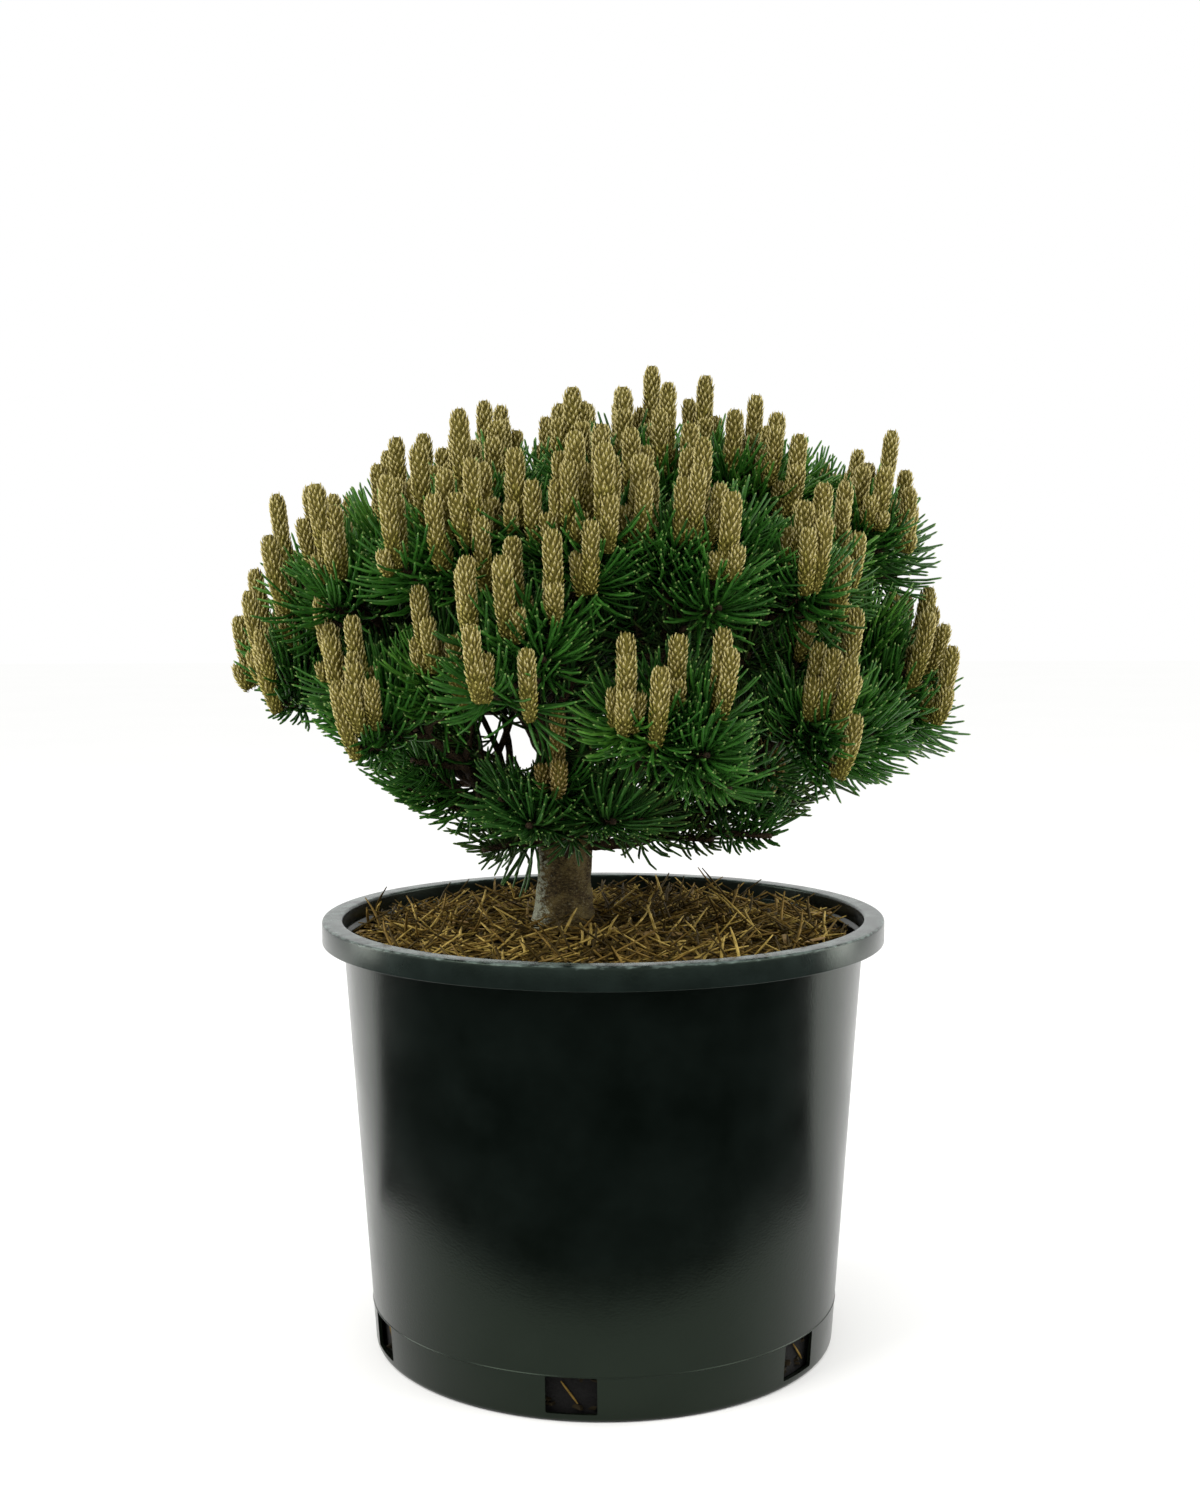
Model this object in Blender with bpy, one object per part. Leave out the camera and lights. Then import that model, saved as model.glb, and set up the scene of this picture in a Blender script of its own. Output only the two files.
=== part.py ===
"""Mugo pine in its black nursery pot: pot, potting mix, trunk, boughs and masses of needles.

Metres, Z up. The origin is the middle of the pot's flat underside, and the front is -Y.
"""

import math
import random
from collections import namedtuple

import bmesh
import bpy
import numpy as np
from mathutils import Matrix, Vector

# Clear distance between two pieces that touch on the real plant
GAP = 0.0003

# Pot: a 30 litre container, 400 mm across its rim
POT_SIDES = 36
POT_HEIGHT = 0.305
POT_FOOT_RADIUS = 0.165
POT_SHOULDER_RADIUS = 0.185
POT_COLLAR_RADIUS = 0.188
POT_RIM_RADIUS = 0.200
POT_RIM_DEPTH = 0.016
POT_WALL = 0.0025
POT_FLOOR = 0.0035
POT_FOOT_ROUND = 0.004
RIM_ROUND = 0.0013
LEDGE_DROP = 0.0125

# Drain holes round the foot of the wall
DRAIN_COUNT = 6
DRAIN_FIRST_ANGLE = -7.5
DRAIN_WIDTH = 0.034
DRAIN_LOW = 0.0055
DRAIN_HIGH = 0.0305
DRAIN_CUT_DEPTH = 0.02

# Potting mix: flat under the trunk, a little lower at the wall
MIX_TOP = 0.290
MIX_EDGE_TOP = 0.284
MIX_FLAT_RADIUS = 0.095

# Trunk: height, sideways place and radius of each ring, from the flat cut to the leader's tip
TRUNK_SIDES = 12
TRUNK_FOOT = MIX_TOP + GAP
TRUNK_RINGS = (
    (TRUNK_FOOT, -0.0285, 0.0250),
    (0.2960, -0.0283, 0.0224),
    (0.3060, -0.0281, 0.0206),
    (0.3300, -0.0278, 0.0196),
    (0.3560, -0.0270, 0.0202),
    (0.3780, -0.0255, 0.0180),
    (0.4050, -0.0220, 0.0138),
    (0.4450, -0.0165, 0.0105),
    (0.4900, -0.0120, 0.0082),
    (0.5150, -0.0100, 0.0068),
)
ROOT_SPUR = 0.006
ROOT_SPUR_ANGLE = 200
ROOT_FLARE_WAVES = 5
ROOT_FLARE = 0.0022
ROOT_FLARE_HEIGHT = 0.022

# Crown: the axis that the masses stand round, and how a mass is made
CROWN_X = -0.010
STEM_LENGTH = 0.086
BEND_SHARE = 0.35
BEND_STEPS = 20
FORK_SHARES = (0.22, 0.34)
CROWN_CURVE = 0.22
GOLDEN = math.radians(137.508)
TRIES_PER_SHOOT = 4
SHOOT_SPREAD = (0.92, 1.05)
SHOOT_FLARE = 0.9
SHOOT_SPLAY = 5
SEED = 11

# Limbs: radius at the root and at the tip
BOUGH_RADII = (0.0068, 0.0044)
SIDE_RADII = (0.0044, 0.0034)
LIMB_SIDES = 5
LIMB_STEPS = 6
LIMB_SEAT = 0.004
LIMB_SWEEP = 0.36
LEAVE_OUTWARD = 0.25
LEAVE_ALONG = 0.35
SIDE_LIMB_GAP = GAP * 1.2
TUBE_START = Vector((0.31, 0.95, 0.12))

# Shoots: three-sided twigs whose faces are drawn out into needles, with upright candles
TWIG_SIDES = 3
TWIG_RADII = (0.0024, 0.0044, 0.0034)
STEM_RADII = (0.0048, 0.0048, 0.0036)
JOIN_ATTEMPTS = 16
WELD = 0.000001
SHOOT_NEAR = 0.012
TWIG_LEAN = 0.42
NEEDLED_RINGS = 5
NEEDLE_LENGTH = 0.048
NEEDLE_VARIES = (0.88, 1.08)
NEEDLE_STEPS = 6
NEEDLE_STRETCHES = 3
NEEDLE_LEAN = (50, 60)
NEEDLE_TILT = 3
NEEDLE_SWAY = 0.15
NEEDLE_SHRINKS = (1.0, 1.0, 0.9, 0.86, 0.72, 0.72, 0.58, 0.58, 0.45)
NEEDLE_GIRTH = 0.0022
NEEDLE_TIP_GIRTH = 0.0002
NEEDLED_END = 0.88
CANDLE_RADIUS = 0.0082
CANDLE_LENGTH = 0.060
CANDLE_VARIES = (0.88, 1.12)
CANDLE_SINK = 0.006
CANDLE_SHOULDER = 1.7
CANDLE_LEAN = 0.22
SIDE_CANDLE = 0.66
SIDE_CANDLE_TILT = 13
SIDE_CANDLE_STEP = 0.8
SIDE_CANDLE_GIRTH = 0.9

# Clearances that keep the masses apart
CELL_SITE = 0.72
CELL_MARGIN = 0.0006
LIMB_MARGIN = 0.0012
LIMB_KEEP_OFF = 0.0016
NEEDLE_MARGIN = 0.0003
CHECK_STEPS = 10
NEAR = 0.12
LIMB_OWNER = -1
LOWEST_NEEDLE = 0.312
UNDERSIDE_RISE = 0.42

Mass = namedtuple("Mass", "name angle reach height lift shoots spread turn candles pairs root root_at")

# Each mass of needles: the angle from the front (positive to the right), the reach from the crown's
# axis and the height of its leading shoot's tip, the lift of its growth in degrees, how many shoots,
# how far they spread, the turn of the first one, how many shoots bear a candle and how many a pair,
# and where its limb leaves: the trunk at a height, or another limb at a share of its length
MASSES = (
    Mass("low_left", -50, 0.136, 0.414, 30, 3, 0.042, 200, 0, 0, "trunk", 0.352),
    Mass("low_front", -8, 0.152, 0.415, 22, 3, 0.046, 160, 1, 1, "trunk", 0.342),
    Mass("low_right", 58, 0.140, 0.409, 28, 3, 0.046, 20, 1, 0, "trunk", 0.353),
    Mass("low_back_right", 128, 0.160, 0.421, 22, 3, 0.046, 70, 1, 0, "trunk", 0.344),
    Mass("low_back_left", -140, 0.158, 0.418, 22, 3, 0.046, 300, 1, 1, "trunk", 0.348),
    Mass("mid_left", -77, 0.221, 0.500, 36, 4, 0.048, 150, 4, 2, "trunk", 0.368),
    Mass("mid_front_left", -43, 0.207, 0.478, 34, 4, 0.048, 100, 4, 2, "mid_left", 0.42),
    Mass("mid_front", -13, 0.211, 0.512, 38, 3, 0.046, 10, 3, 1, "trunk", 0.376),
    Mass("mid_front_right", 15, 0.206, 0.473, 34, 4, 0.047, 60, 3, 1, "trunk", 0.365),
    Mass("mid_right_front", 52, 0.205, 0.468, 34, 4, 0.046, 170, 3, 1, "mid_right", 0.40),
    Mass("mid_right", 80, 0.229, 0.482, 32, 4, 0.048, 30, 3, 1, "trunk", 0.374),
    Mass("mid_back_right", 118, 0.214, 0.478, 35, 4, 0.050, 95, 3, 1, "trunk", 0.366),
    Mass("mid_back", 156, 0.210, 0.486, 36, 4, 0.050, 200, 3, 1, "trunk", 0.378),
    Mass("mid_back_left", -163, 0.209, 0.476, 35, 4, 0.050, 320, 3, 1, "trunk", 0.364),
    Mass("mid_left_back", -115, 0.216, 0.484, 35, 4, 0.050, 20, 3, 1, "trunk", 0.380),
    Mass("high_left", -60, 0.198, 0.556, 48, 4, 0.046, 60, 4, 2, "mid_left", 0.62),
    Mass("high_front_left", -34, 0.180, 0.578, 52, 4, 0.046, 0, 4, 1, "mid_front", 0.45),
    Mass("high_front", -2, 0.177, 0.580, 52, 4, 0.045, 90, 4, 1, "mid_front", 0.66),
    Mass("high_front_right", 21, 0.188, 0.566, 50, 4, 0.044, 105, 3, 1, "mid_front_right", 0.55),
    Mass("high_right_front", 50, 0.191, 0.562, 50, 3, 0.044, 40, 3, 1, "mid_right", 0.60),
    Mass("high_right", 80, 0.202, 0.588, 52, 4, 0.046, 80, 4, 1, "mid_right", 0.80),
    Mass("high_back_right", 122, 0.189, 0.560, 50, 4, 0.050, 10, 3, 1, "mid_back_right", 0.55),
    Mass("high_back", 170, 0.188, 0.562, 50, 4, 0.050, 240, 4, 1, "mid_back", 0.55),
    Mass("high_left_back", -115, 0.190, 0.560, 50, 4, 0.050, 130, 3, 1, "mid_left_back", 0.55),
    Mass("top_left", -42, 0.124, 0.604, 70, 4, 0.050, 30, 4, 1, "trunk", 0.455),
    Mass("top_front", 14, 0.098, 0.624, 74, 4, 0.048, 75, 4, 2, "trunk", 0.505),
    Mass("top_right", 62, 0.124, 0.621, 68, 4, 0.042, 160, 3, 1, "trunk", 0.470),
    Mass("top_back", 165, 0.098, 0.622, 74, 4, 0.050, 0, 4, 1, "trunk", 0.490),
)

Limb = namedtuple("Limb", "points radii")
Candle = namedtuple("Candle", "foot tip radius")
Shoot = namedtuple("Shoot", "points candles")
Growth = namedtuple("Growth", "mass stem shoots")


def clear_scene():
    for item in list(bpy.data.objects):
        bpy.data.objects.remove(item, do_unlink=True)


def plain_material(name, colour, roughness):
    made = bpy.data.materials.new(name)
    made.use_nodes = True
    shader = made.node_tree.nodes["Principled BSDF"]
    shader.inputs["Base Color"].default_value = (*colour, 1.0)
    shader.inputs["Roughness"].default_value = roughness
    shader.inputs["Metallic"].default_value = 0.0
    return made


def add_object(name, shape, finish, smooth_angle=None):
    """Turns a bmesh into an object of the scene."""
    mesh = bpy.data.meshes.new(name)
    shape.to_mesh(mesh)
    shape.free()
    if smooth_angle is not None:
        mesh.shade_smooth()
        mesh.set_sharp_from_angle(angle=math.radians(smooth_angle))
    item = bpy.data.objects.new(name, mesh)
    if finish is not None:
        mesh.materials.append(finish)
    bpy.context.scene.collection.objects.link(item)
    return item


def apply_modifiers(item):
    """Leaves the object with its evaluated mesh and no modifiers."""
    finish = item.data.materials[0]
    graph = bpy.context.evaluated_depsgraph_get()
    mesh = bpy.data.meshes.new_from_object(item.evaluated_get(graph))
    item.modifiers.clear()
    item.data = mesh
    mesh.materials.clear()
    mesh.materials.append(finish)


def shells_of(shape):
    """The faces of a bmesh, grouped by which of them hang together."""
    left = set(shape.faces)
    shells = []
    while left:
        waiting = [left.pop()]
        shell = list(waiting)
        while waiting:
            face = waiting.pop()
            near = {other for edge in face.edges for other in edge.link_faces} & left
            left -= near
            shell.extend(near)
            waiting.extend(near)
        shells.append(shell)
    return sorted(shells, key=len)


def keep_main_shell(item):
    """Drops loose scraps, and fills a sealed hollow by dropping its inner shell."""
    shape = bmesh.new()
    shape.from_mesh(item.data)
    scraps = [face for shell in shells_of(shape)[:-1] for face in shell]
    if scraps:
        bmesh.ops.delete(shape, geom=scraps, context="FACES")
    shape.to_mesh(item.data)
    shape.free()


def turned(profile, sides):
    """Spins a list of (radius, height) points round Z into a closed solid."""
    shape = bmesh.new()
    points = [shape.verts.new((radius, 0.0, height)) for radius, height in profile]
    for low, high in zip(points, points[1:]):
        shape.edges.new((low, high))
    bmesh.ops.spin(
        shape,
        geom=shape.verts[:] + shape.edges[:],
        cent=(0, 0, 0),
        axis=(0, 0, 1),
        angle=math.tau,
        steps=sides,
        use_merge=True,
    )
    bmesh.ops.remove_doubles(shape, verts=shape.verts, dist=0.00001)
    bmesh.ops.recalc_face_normals(shape, faces=shape.faces)
    return shape


def wall_radius(height):
    """Outer radius of the pot's wall, which widens evenly to its shoulder."""
    shoulder_height = POT_HEIGHT - POT_RIM_DEPTH
    share = height / shoulder_height
    return POT_FOOT_RADIUS + share * (POT_SHOULDER_RADIUS - POT_FOOT_RADIUS)


def pot_profile():
    rim_low = POT_HEIGHT - POT_RIM_DEPTH
    flange_low = POT_HEIGHT - POT_WALL
    collar_inner = POT_COLLAR_RADIUS - POT_WALL
    ledge = POT_HEIGHT - LEDGE_DROP
    return (
        (0.0, 0.0),
        (POT_FOOT_RADIUS - POT_FOOT_ROUND, 0.0),
        (wall_radius(POT_FOOT_ROUND), POT_FOOT_ROUND),
        (POT_SHOULDER_RADIUS, rim_low),
        (POT_COLLAR_RADIUS, rim_low + POT_WALL),
        (POT_COLLAR_RADIUS, flange_low),
        (POT_RIM_RADIUS - POT_WALL, flange_low),
        (POT_RIM_RADIUS - POT_WALL, rim_low),
        (POT_RIM_RADIUS, rim_low),
        (POT_RIM_RADIUS, POT_HEIGHT - RIM_ROUND),
        (POT_RIM_RADIUS - RIM_ROUND, POT_HEIGHT),
        (collar_inner + RIM_ROUND, POT_HEIGHT),
        (collar_inner, POT_HEIGHT - RIM_ROUND),
        (collar_inner, ledge),
        (POT_SHOULDER_RADIUS - POT_WALL, ledge - POT_WALL),
        (wall_radius(POT_FLOOR) - POT_WALL, POT_FLOOR),
        (0.0, POT_FLOOR),
    )


def make_drain_cutter():
    """One cutter with a block through the wall at each drain hole."""
    shape = bmesh.new()
    tall = DRAIN_HIGH - DRAIN_LOW
    for index in range(DRAIN_COUNT):
        angle = math.radians(DRAIN_FIRST_ANGLE + index * 360 / DRAIN_COUNT)
        middle = Matrix.Translation((0, -POT_FOOT_RADIUS, DRAIN_LOW + tall / 2))
        place = Matrix.Rotation(angle, 4, "Z") @ middle
        size = Matrix.Diagonal((DRAIN_WIDTH, DRAIN_CUT_DEPTH, tall, 1.0))
        bmesh.ops.create_cube(shape, size=1.0, matrix=place @ size)
    cutter = add_object("drain_cutter", shape, None)
    cutter.hide_render = True
    cutter.display_type = "WIRE"
    return cutter


def make_pot(finish):
    pot = add_object("pot", turned(pot_profile(), POT_SIDES), finish, smooth_angle=35)
    cut = pot.modifiers.new("drain holes", "BOOLEAN")
    cut.operation = "DIFFERENCE"
    cut.object = make_drain_cutter()


def make_potting_mix(finish):
    top_radius = wall_radius(MIX_EDGE_TOP) - POT_WALL - GAP
    low = POT_FLOOR + GAP
    profile = (
        (0.0, low),
        (wall_radius(low) - POT_WALL - GAP, low),
        (top_radius, MIX_EDGE_TOP),
        (MIX_FLAT_RADIUS, MIX_TOP),
        (0.0, MIX_TOP),
    )
    add_object("potting_mix", turned(profile, POT_SIDES), finish, smooth_angle=35)


def trunk_axis(height):
    """The trunk's middle at a height, and its radius there."""
    for low, high in zip(TRUNK_RINGS, TRUNK_RINGS[1:]):
        if height <= high[0] or high is TRUNK_RINGS[-1]:
            share = (height - low[0]) / (high[0] - low[0])
            side = low[1] + share * (high[1] - low[1])
            radius = low[2] + share * (high[2] - low[2])
            return Vector((side, 0.0, height)), radius


def trunk_shape(extra):
    """The trunk as rings joined by bridges, made larger all round by extra."""
    shape = bmesh.new()
    rings = []
    for height, side, radius in TRUNK_RINGS:
        flare = max(0.0, 1 - (height - TRUNK_FOOT) / ROOT_FLARE_HEIGHT)
        ring = bmesh.ops.create_circle(shape, cap_ends=False, radius=1.0, segments=TRUNK_SIDES)["verts"]
        for vert in ring:
            angle = math.atan2(vert.co.y, vert.co.x)
            spur = max(0.0, math.cos(angle - math.radians(ROOT_SPUR_ANGLE))) ** 6 * ROOT_SPUR
            wave = ROOT_FLARE * math.sin(ROOT_FLARE_WAVES * angle)
            reach = radius + extra + flare * (spur + wave)
            vert.co = Vector((side + reach * math.cos(angle), reach * math.sin(angle), height))
        rings.append(ring)
    join_rings(shape, rings)
    bmesh.ops.recalc_face_normals(shape, faces=shape.faces)
    return shape


def join_rings(shape, rings):
    """Closes a row of rings into one solid, with a flat face at each end."""
    count = len(rings[0])
    for low, high in zip(rings, rings[1:]):
        for index in range(count):
            after = (index + 1) % count
            shape.faces.new((low[index], low[after], high[after], high[index]))
    shape.faces.new(list(reversed(rings[0])))
    shape.faces.new(rings[-1])


def tube_shape(points, radii, sides):
    """A tapering tube through points; its rings are square to the path and keep their turn."""
    shape = bmesh.new()
    rings = []
    across = TUBE_START
    for index, (point, radius) in enumerate(zip(points, radii)):
        ahead = points[min(index + 1, len(points) - 1)] - points[max(index - 1, 0)]
        along = ahead.normalized()
        across = (across - along * across.dot(along)).normalized()
        other = along.cross(across)
        ring = []
        for corner in range(sides):
            turn = math.tau * corner / sides
            ring.append(shape.verts.new(point + (across * math.cos(turn) + other * math.sin(turn)) * radius))
        rings.append(ring)
    join_rings(shape, rings)
    return shape


def outward(angle):
    """Unit vector away from the crown's axis, at an angle from the front."""
    turn = math.radians(angle)
    return Vector((math.sin(turn), -math.cos(turn), 0.0))


def growth_direction(mass):
    lift = math.radians(mass.lift)
    return outward(mass.angle) * math.cos(lift) + Vector((0, 0, math.sin(lift)))


def leader_tip(mass):
    return Vector((CROWN_X, 0, mass.height)) + outward(mass.angle) * mass.reach


def stem_foot(mass):
    return leader_tip(mass) - growth_direction(mass) * STEM_LENGTH


def smooth_path(start, leave, end, arrive, steps):
    """Points of a curve that leaves start along one direction and arrives at end along another."""
    reach = (end - start).length
    first = start + leave * reach * LIMB_SWEEP
    last = end - arrive * reach * LIMB_SWEEP
    points = []
    for index in range(steps + 1):
        share = index / steps
        rest = 1 - share
        points.append(
            start * rest**3 + first * 3 * rest**2 * share + last * 3 * rest * share**2 + end * share**3
        )
    return points


def spot_on(points, share):
    """The place and the direction at a share of a path's length."""
    lengths = [(high - low).length for low, high in zip(points, points[1:])]
    left = share * sum(lengths)
    for low, high, length in zip(points, points[1:], lengths):
        if left <= length or high is points[-1]:
            return low.lerp(high, left / length), (high - low).normalized()
        left -= length


def grow_limbs():
    """The path of each mass's limb, in the order of the table's roots."""
    limbs = {}
    waiting = list(MASSES)
    while waiting:
        mass = waiting.pop(0)
        end = stem_foot(mass)
        arrive = growth_direction(mass)
        if mass.root == "trunk":
            start, _ = trunk_axis(mass.root_at)
            toward = (end - start).normalized()
            leave = (toward + outward(mass.angle) * LEAVE_OUTWARD).normalized()
            radii = BOUGH_RADII if mass.name.startswith("mid") else SIDE_RADII
        elif mass.root in limbs:
            start, along = spot_on(limbs[mass.root].points, mass.root_at)
            leave = (along * LEAVE_ALONG + (end - start).normalized()).normalized()
            radii = SIDE_RADII
        else:
            waiting.append(mass)
            continue
        points = smooth_path(start, leave, end - arrive * LIMB_SEAT, arrive, LIMB_STEPS - 1) + [end]
        steps = len(points) - 1
        sizes = [radii[0] + (radii[1] - radii[0]) * index / steps for index in range(steps + 1)]
        limbs[mass.name] = Limb(points, sizes)
    return limbs


def grow_candles(mass, tip, rng, index):
    """Candles that stand on a shoot's tip: a tall one, and a shorter one beside it on some."""
    away = outward(mass.angle)
    upright = (Vector((0, 0, 1)) + away * CANDLE_LEAN * (1 - mass.lift / 90)).normalized()
    turn = Matrix.Rotation(rng.uniform(0, math.tau), 3, upright)
    sideways = turn @ upright.orthogonal().normalized()
    length = CANDLE_LENGTH * rng.uniform(*CANDLE_VARIES)
    foot = tip - upright * CANDLE_SINK
    candles = []
    if index < mass.candles:
        candles.append(Candle(foot, foot + upright * length, CANDLE_RADIUS))
    if index < mass.pairs:
        lean = (upright + sideways * math.tan(math.radians(SIDE_CANDLE_TILT))).normalized()
        foot = foot + sideways * CANDLE_RADIUS * SIDE_CANDLE_STEP
        candles.append(Candle(foot, foot + lean * length * SIDE_CANDLE, CANDLE_RADIUS * SIDE_CANDLE_GIRTH))
    return candles


def grow_mass(owner, space):
    """The stem and the shoots of one mass, spread by the golden angle round its leader."""
    mass = MASSES[owner]
    rng = random.Random(SEED + owner)
    along = growth_direction(mass)
    foot = stem_foot(mass)
    tip = leader_tip(mass)
    side = along.cross(Vector((0, 0, 1))).normalized()
    rise = side.cross(along)
    stem = [foot + along * GAP, foot.lerp(tip, BEND_SHARE), tip]
    space.add(stem, STEM_RADII, owner)
    shoots = [Shoot(stem, grow_candles(mass, tip, rng, 0))]
    for attempt in range(1, mass.shoots * TRIES_PER_SHOOT):
        rank = len(shoots)
        if rank == mass.shoots:
            break
        distance = mass.spread * math.sqrt(rank / (mass.shoots - 1)) * rng.uniform(*SHOOT_SPREAD)
        turn = math.radians(mass.turn) + attempt * GOLDEN
        offset = (side * math.cos(turn) + rise * math.sin(turn)) * distance
        end = tip + offset - along * distance * distance / (2 * CROWN_CURVE)
        start = foot.lerp(tip, rng.uniform(*FORK_SHARES))
        leave = (along + offset.normalized() * SHOOT_FLARE).normalized()
        arrive = (along + Vector((0, 0, TWIG_LEAN)) + offset * SHOOT_SPLAY).normalized()
        curve = smooth_path(start, leave, end, arrive, BEND_STEPS)
        path = [start, curve[round(BEND_SHARE * BEND_STEPS)], end]
        if twig_fits(space, owner, path):
            space.add(path, TWIG_RADII, owner)
            shoots.append(Shoot(path, grow_candles(mass, end, rng, rank)))
    return Growth(mass, stem, shoots)


def twig_fits(space, owner, path):
    """True where a twig keeps to its mass's cell and clear of limbs and of other masses' twigs."""
    line = [spot_on(path, step / CHECK_STEPS)[0] for step in range(CHECK_STEPS + 1)]
    girths = [TWIG_RADII[1]] * len(line)
    return space.in_cell(line, owner) and space.room(line, girths, skip=owner) > LIMB_MARGIN


class Space:
    """What each new piece has to stay clear of, as capsules, and the cell of each mass."""

    def __init__(self, limbs):
        self.starts = np.empty((0, 3))
        self.lines = np.empty((0, 3))
        self.sizes = np.empty(0)
        self.owners = np.empty(0, dtype=int)
        sites = [stem_foot(mass).lerp(leader_tip(mass), CELL_SITE) for mass in MASSES]
        self.sites = np.array([tuple(site) for site in sites])
        for limb in limbs.values():
            self.add(limb.points, [radius + LIMB_KEEP_OFF for radius in limb.radii], LIMB_OWNER)
        axis = [Vector((side, 0, height)) for height, side, radius in TRUNK_RINGS]
        self.add(axis, [radius for height, side, radius in TRUNK_RINGS], LIMB_OWNER)

    def add(self, points, radii, owner):
        """Adds a capsule round each stretch of a path."""
        places = np.array([tuple(point) for point in points])
        self.starts = np.vstack((self.starts, places[:-1]))
        self.lines = np.vstack((self.lines, places[1:] - places[:-1]))
        self.sizes = np.append(self.sizes, np.maximum(radii[:-1], radii[1:]))
        self.owners = np.append(self.owners, np.full(len(points) - 1, owner))

    def state(self):
        return self.starts, self.lines, self.sizes, self.owners

    def restore(self, state):
        self.starts, self.lines, self.sizes, self.owners = state

    def room(self, points, radii, skip=None):
        """The least clear distance from a row of round sections to what is there already."""
        places = np.array([tuple(point) for point in points])
        near = np.linalg.norm(self.starts + self.lines / 2 - places.mean(axis=0), axis=1) < NEAR
        if skip is not None:
            near &= self.owners != skip
        if not near.any():
            return NEAR
        lines = self.lines[near]
        offsets = places[:, None, :] - self.starts[near][None, :, :]
        share = np.clip((offsets * lines).sum(axis=2) / (lines**2).sum(axis=1), 0, 1)
        nearest = offsets - lines * share[:, :, None]
        distance = np.sqrt((nearest**2).sum(axis=2)) - self.sizes[near]
        return float((distance - np.array(radii)[:, None]).min())

    def in_cell(self, points, owner):
        """True where every point lies on its own mass's side of each plane between two masses."""
        places = np.array([tuple(point) for point in points])
        others = np.delete(self.sites, owner, axis=0)
        apart = others - self.sites[owner]
        middle = (others + self.sites[owner]) / 2
        side = ((places[:, None, :] - middle) * apart).sum(axis=2) / np.linalg.norm(apart, axis=1)
        return bool(side.max() < -CELL_MARGIN)


def underside(place):
    """The lowest that a needle may hang: the crown's underside rises away from its axis."""
    away = place - Vector((CROWN_X, 0, 0))
    return LOWEST_NEEDLE + UNDERSIDE_RISE * away.xy.length


def needle_girths(count):
    """Half the thickness of a needle at even steps from its root to its tip."""
    return [NEEDLE_GIRTH * (1 - step / count) + NEEDLE_TIP_GIRTH for step in range(1, count + 1)]


def needle_tip(space, owner, root, along, away, lean, rng):
    """Where the longest needle from a root ends that keeps to its cell and clear, or nothing."""
    full = NEEDLE_LENGTH * rng.uniform(*NEEDLE_VARIES)
    girths = needle_girths(NEEDLE_STEPS)
    for shrink in NEEDLE_SHRINKS:
        tilt = math.radians(lean + rng.uniform(-NEEDLE_TILT, NEEDLE_TILT))
        sideways = Matrix.Rotation(rng.uniform(-NEEDLE_SWAY, NEEDLE_SWAY), 3, along) @ away
        direction = along * math.cos(tilt) + sideways * math.sin(tilt)
        tip = root + direction * full * shrink
        if tip.z < underside(tip):
            continue
        line = [root.lerp(tip, step / NEEDLE_STEPS) for step in range(1, NEEDLE_STEPS + 1)]
        if space.in_cell(line, owner) and space.room(line, girths) > NEEDLE_MARGIN:
            return tip
    return None


def needled_twig(space, owner, points, radii, rng):
    """A three-sided twig whose upper faces are each split in two and drawn out into needles."""
    foot, bend, tip = points
    along = (tip - bend).normalized()
    path = [foot, bend]
    sizes = [radii[0], radii[1]]
    for ring in range(1, NEEDLED_RINGS + 1):
        share = ring / NEEDLED_RINGS
        path.append(bend.lerp(tip, share * NEEDLED_END))
        sizes.append(radii[1] + (radii[2] - radii[1]) * share)
    path.append(tip)
    sizes.append(radii[2])
    shape = tube_shape(path, sizes, TWIG_SIDES)
    low = bend.dot(along) - GAP
    high = path[-2].dot(along) + GAP
    bearing = []
    for face in shape.faces:
        heights = [vert.co.dot(along) for vert in face.verts]
        if len(heights) == 4 and min(heights) > low and max(heights) < high:
            bearing.append(face)
    halves = bmesh.ops.triangulate(shape, faces=bearing)["faces"]
    grown = []
    lean = rng.uniform(*NEEDLE_LEAN)
    for face in halves:
        root = face.calc_center_median()
        away = root - bend
        away = (away - along * away.dot(along)).normalized()
        end = needle_tip(space, owner, root, along, away, lean, rng)
        if end is not None:
            bmesh.ops.poke(shape, faces=[face])["verts"][0].co = end
            grown.append((root, end))
    for root, end in grown:
        line = [root.lerp(end, step / NEEDLE_STRETCHES) for step in range(NEEDLE_STRETCHES + 1)]
        space.add(line, [NEEDLE_GIRTH] + needle_girths(NEEDLE_STRETCHES), owner)
    return shape


def candle_shape(candle):
    """A five-sided spindle with a long straight body, from an icosphere."""
    shape = bmesh.new()
    bmesh.ops.create_icosphere(shape, subdivisions=1, radius=1.0)
    for vert in shape.verts:
        if abs(vert.co.z) < 0.9:
            vert.co.z *= CANDLE_SHOULDER
    line = candle.tip - candle.foot
    turn = line.to_track_quat("Z", "Y").to_matrix().to_4x4()
    size = Matrix.Diagonal((candle.radius, candle.radius, line.length / 2, 1.0))
    place = Matrix.Translation((candle.foot + candle.tip) / 2)
    bmesh.ops.transform(shape, matrix=place @ turn @ size, verts=shape.verts)
    return shape


def link_part(shape, store):
    """Adds one closed shape to the collection that a mass is joined from."""
    mesh = bpy.data.meshes.new("piece")
    shape.to_mesh(mesh)
    shape.free()
    store.objects.link(bpy.data.objects.new("piece", mesh))


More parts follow.
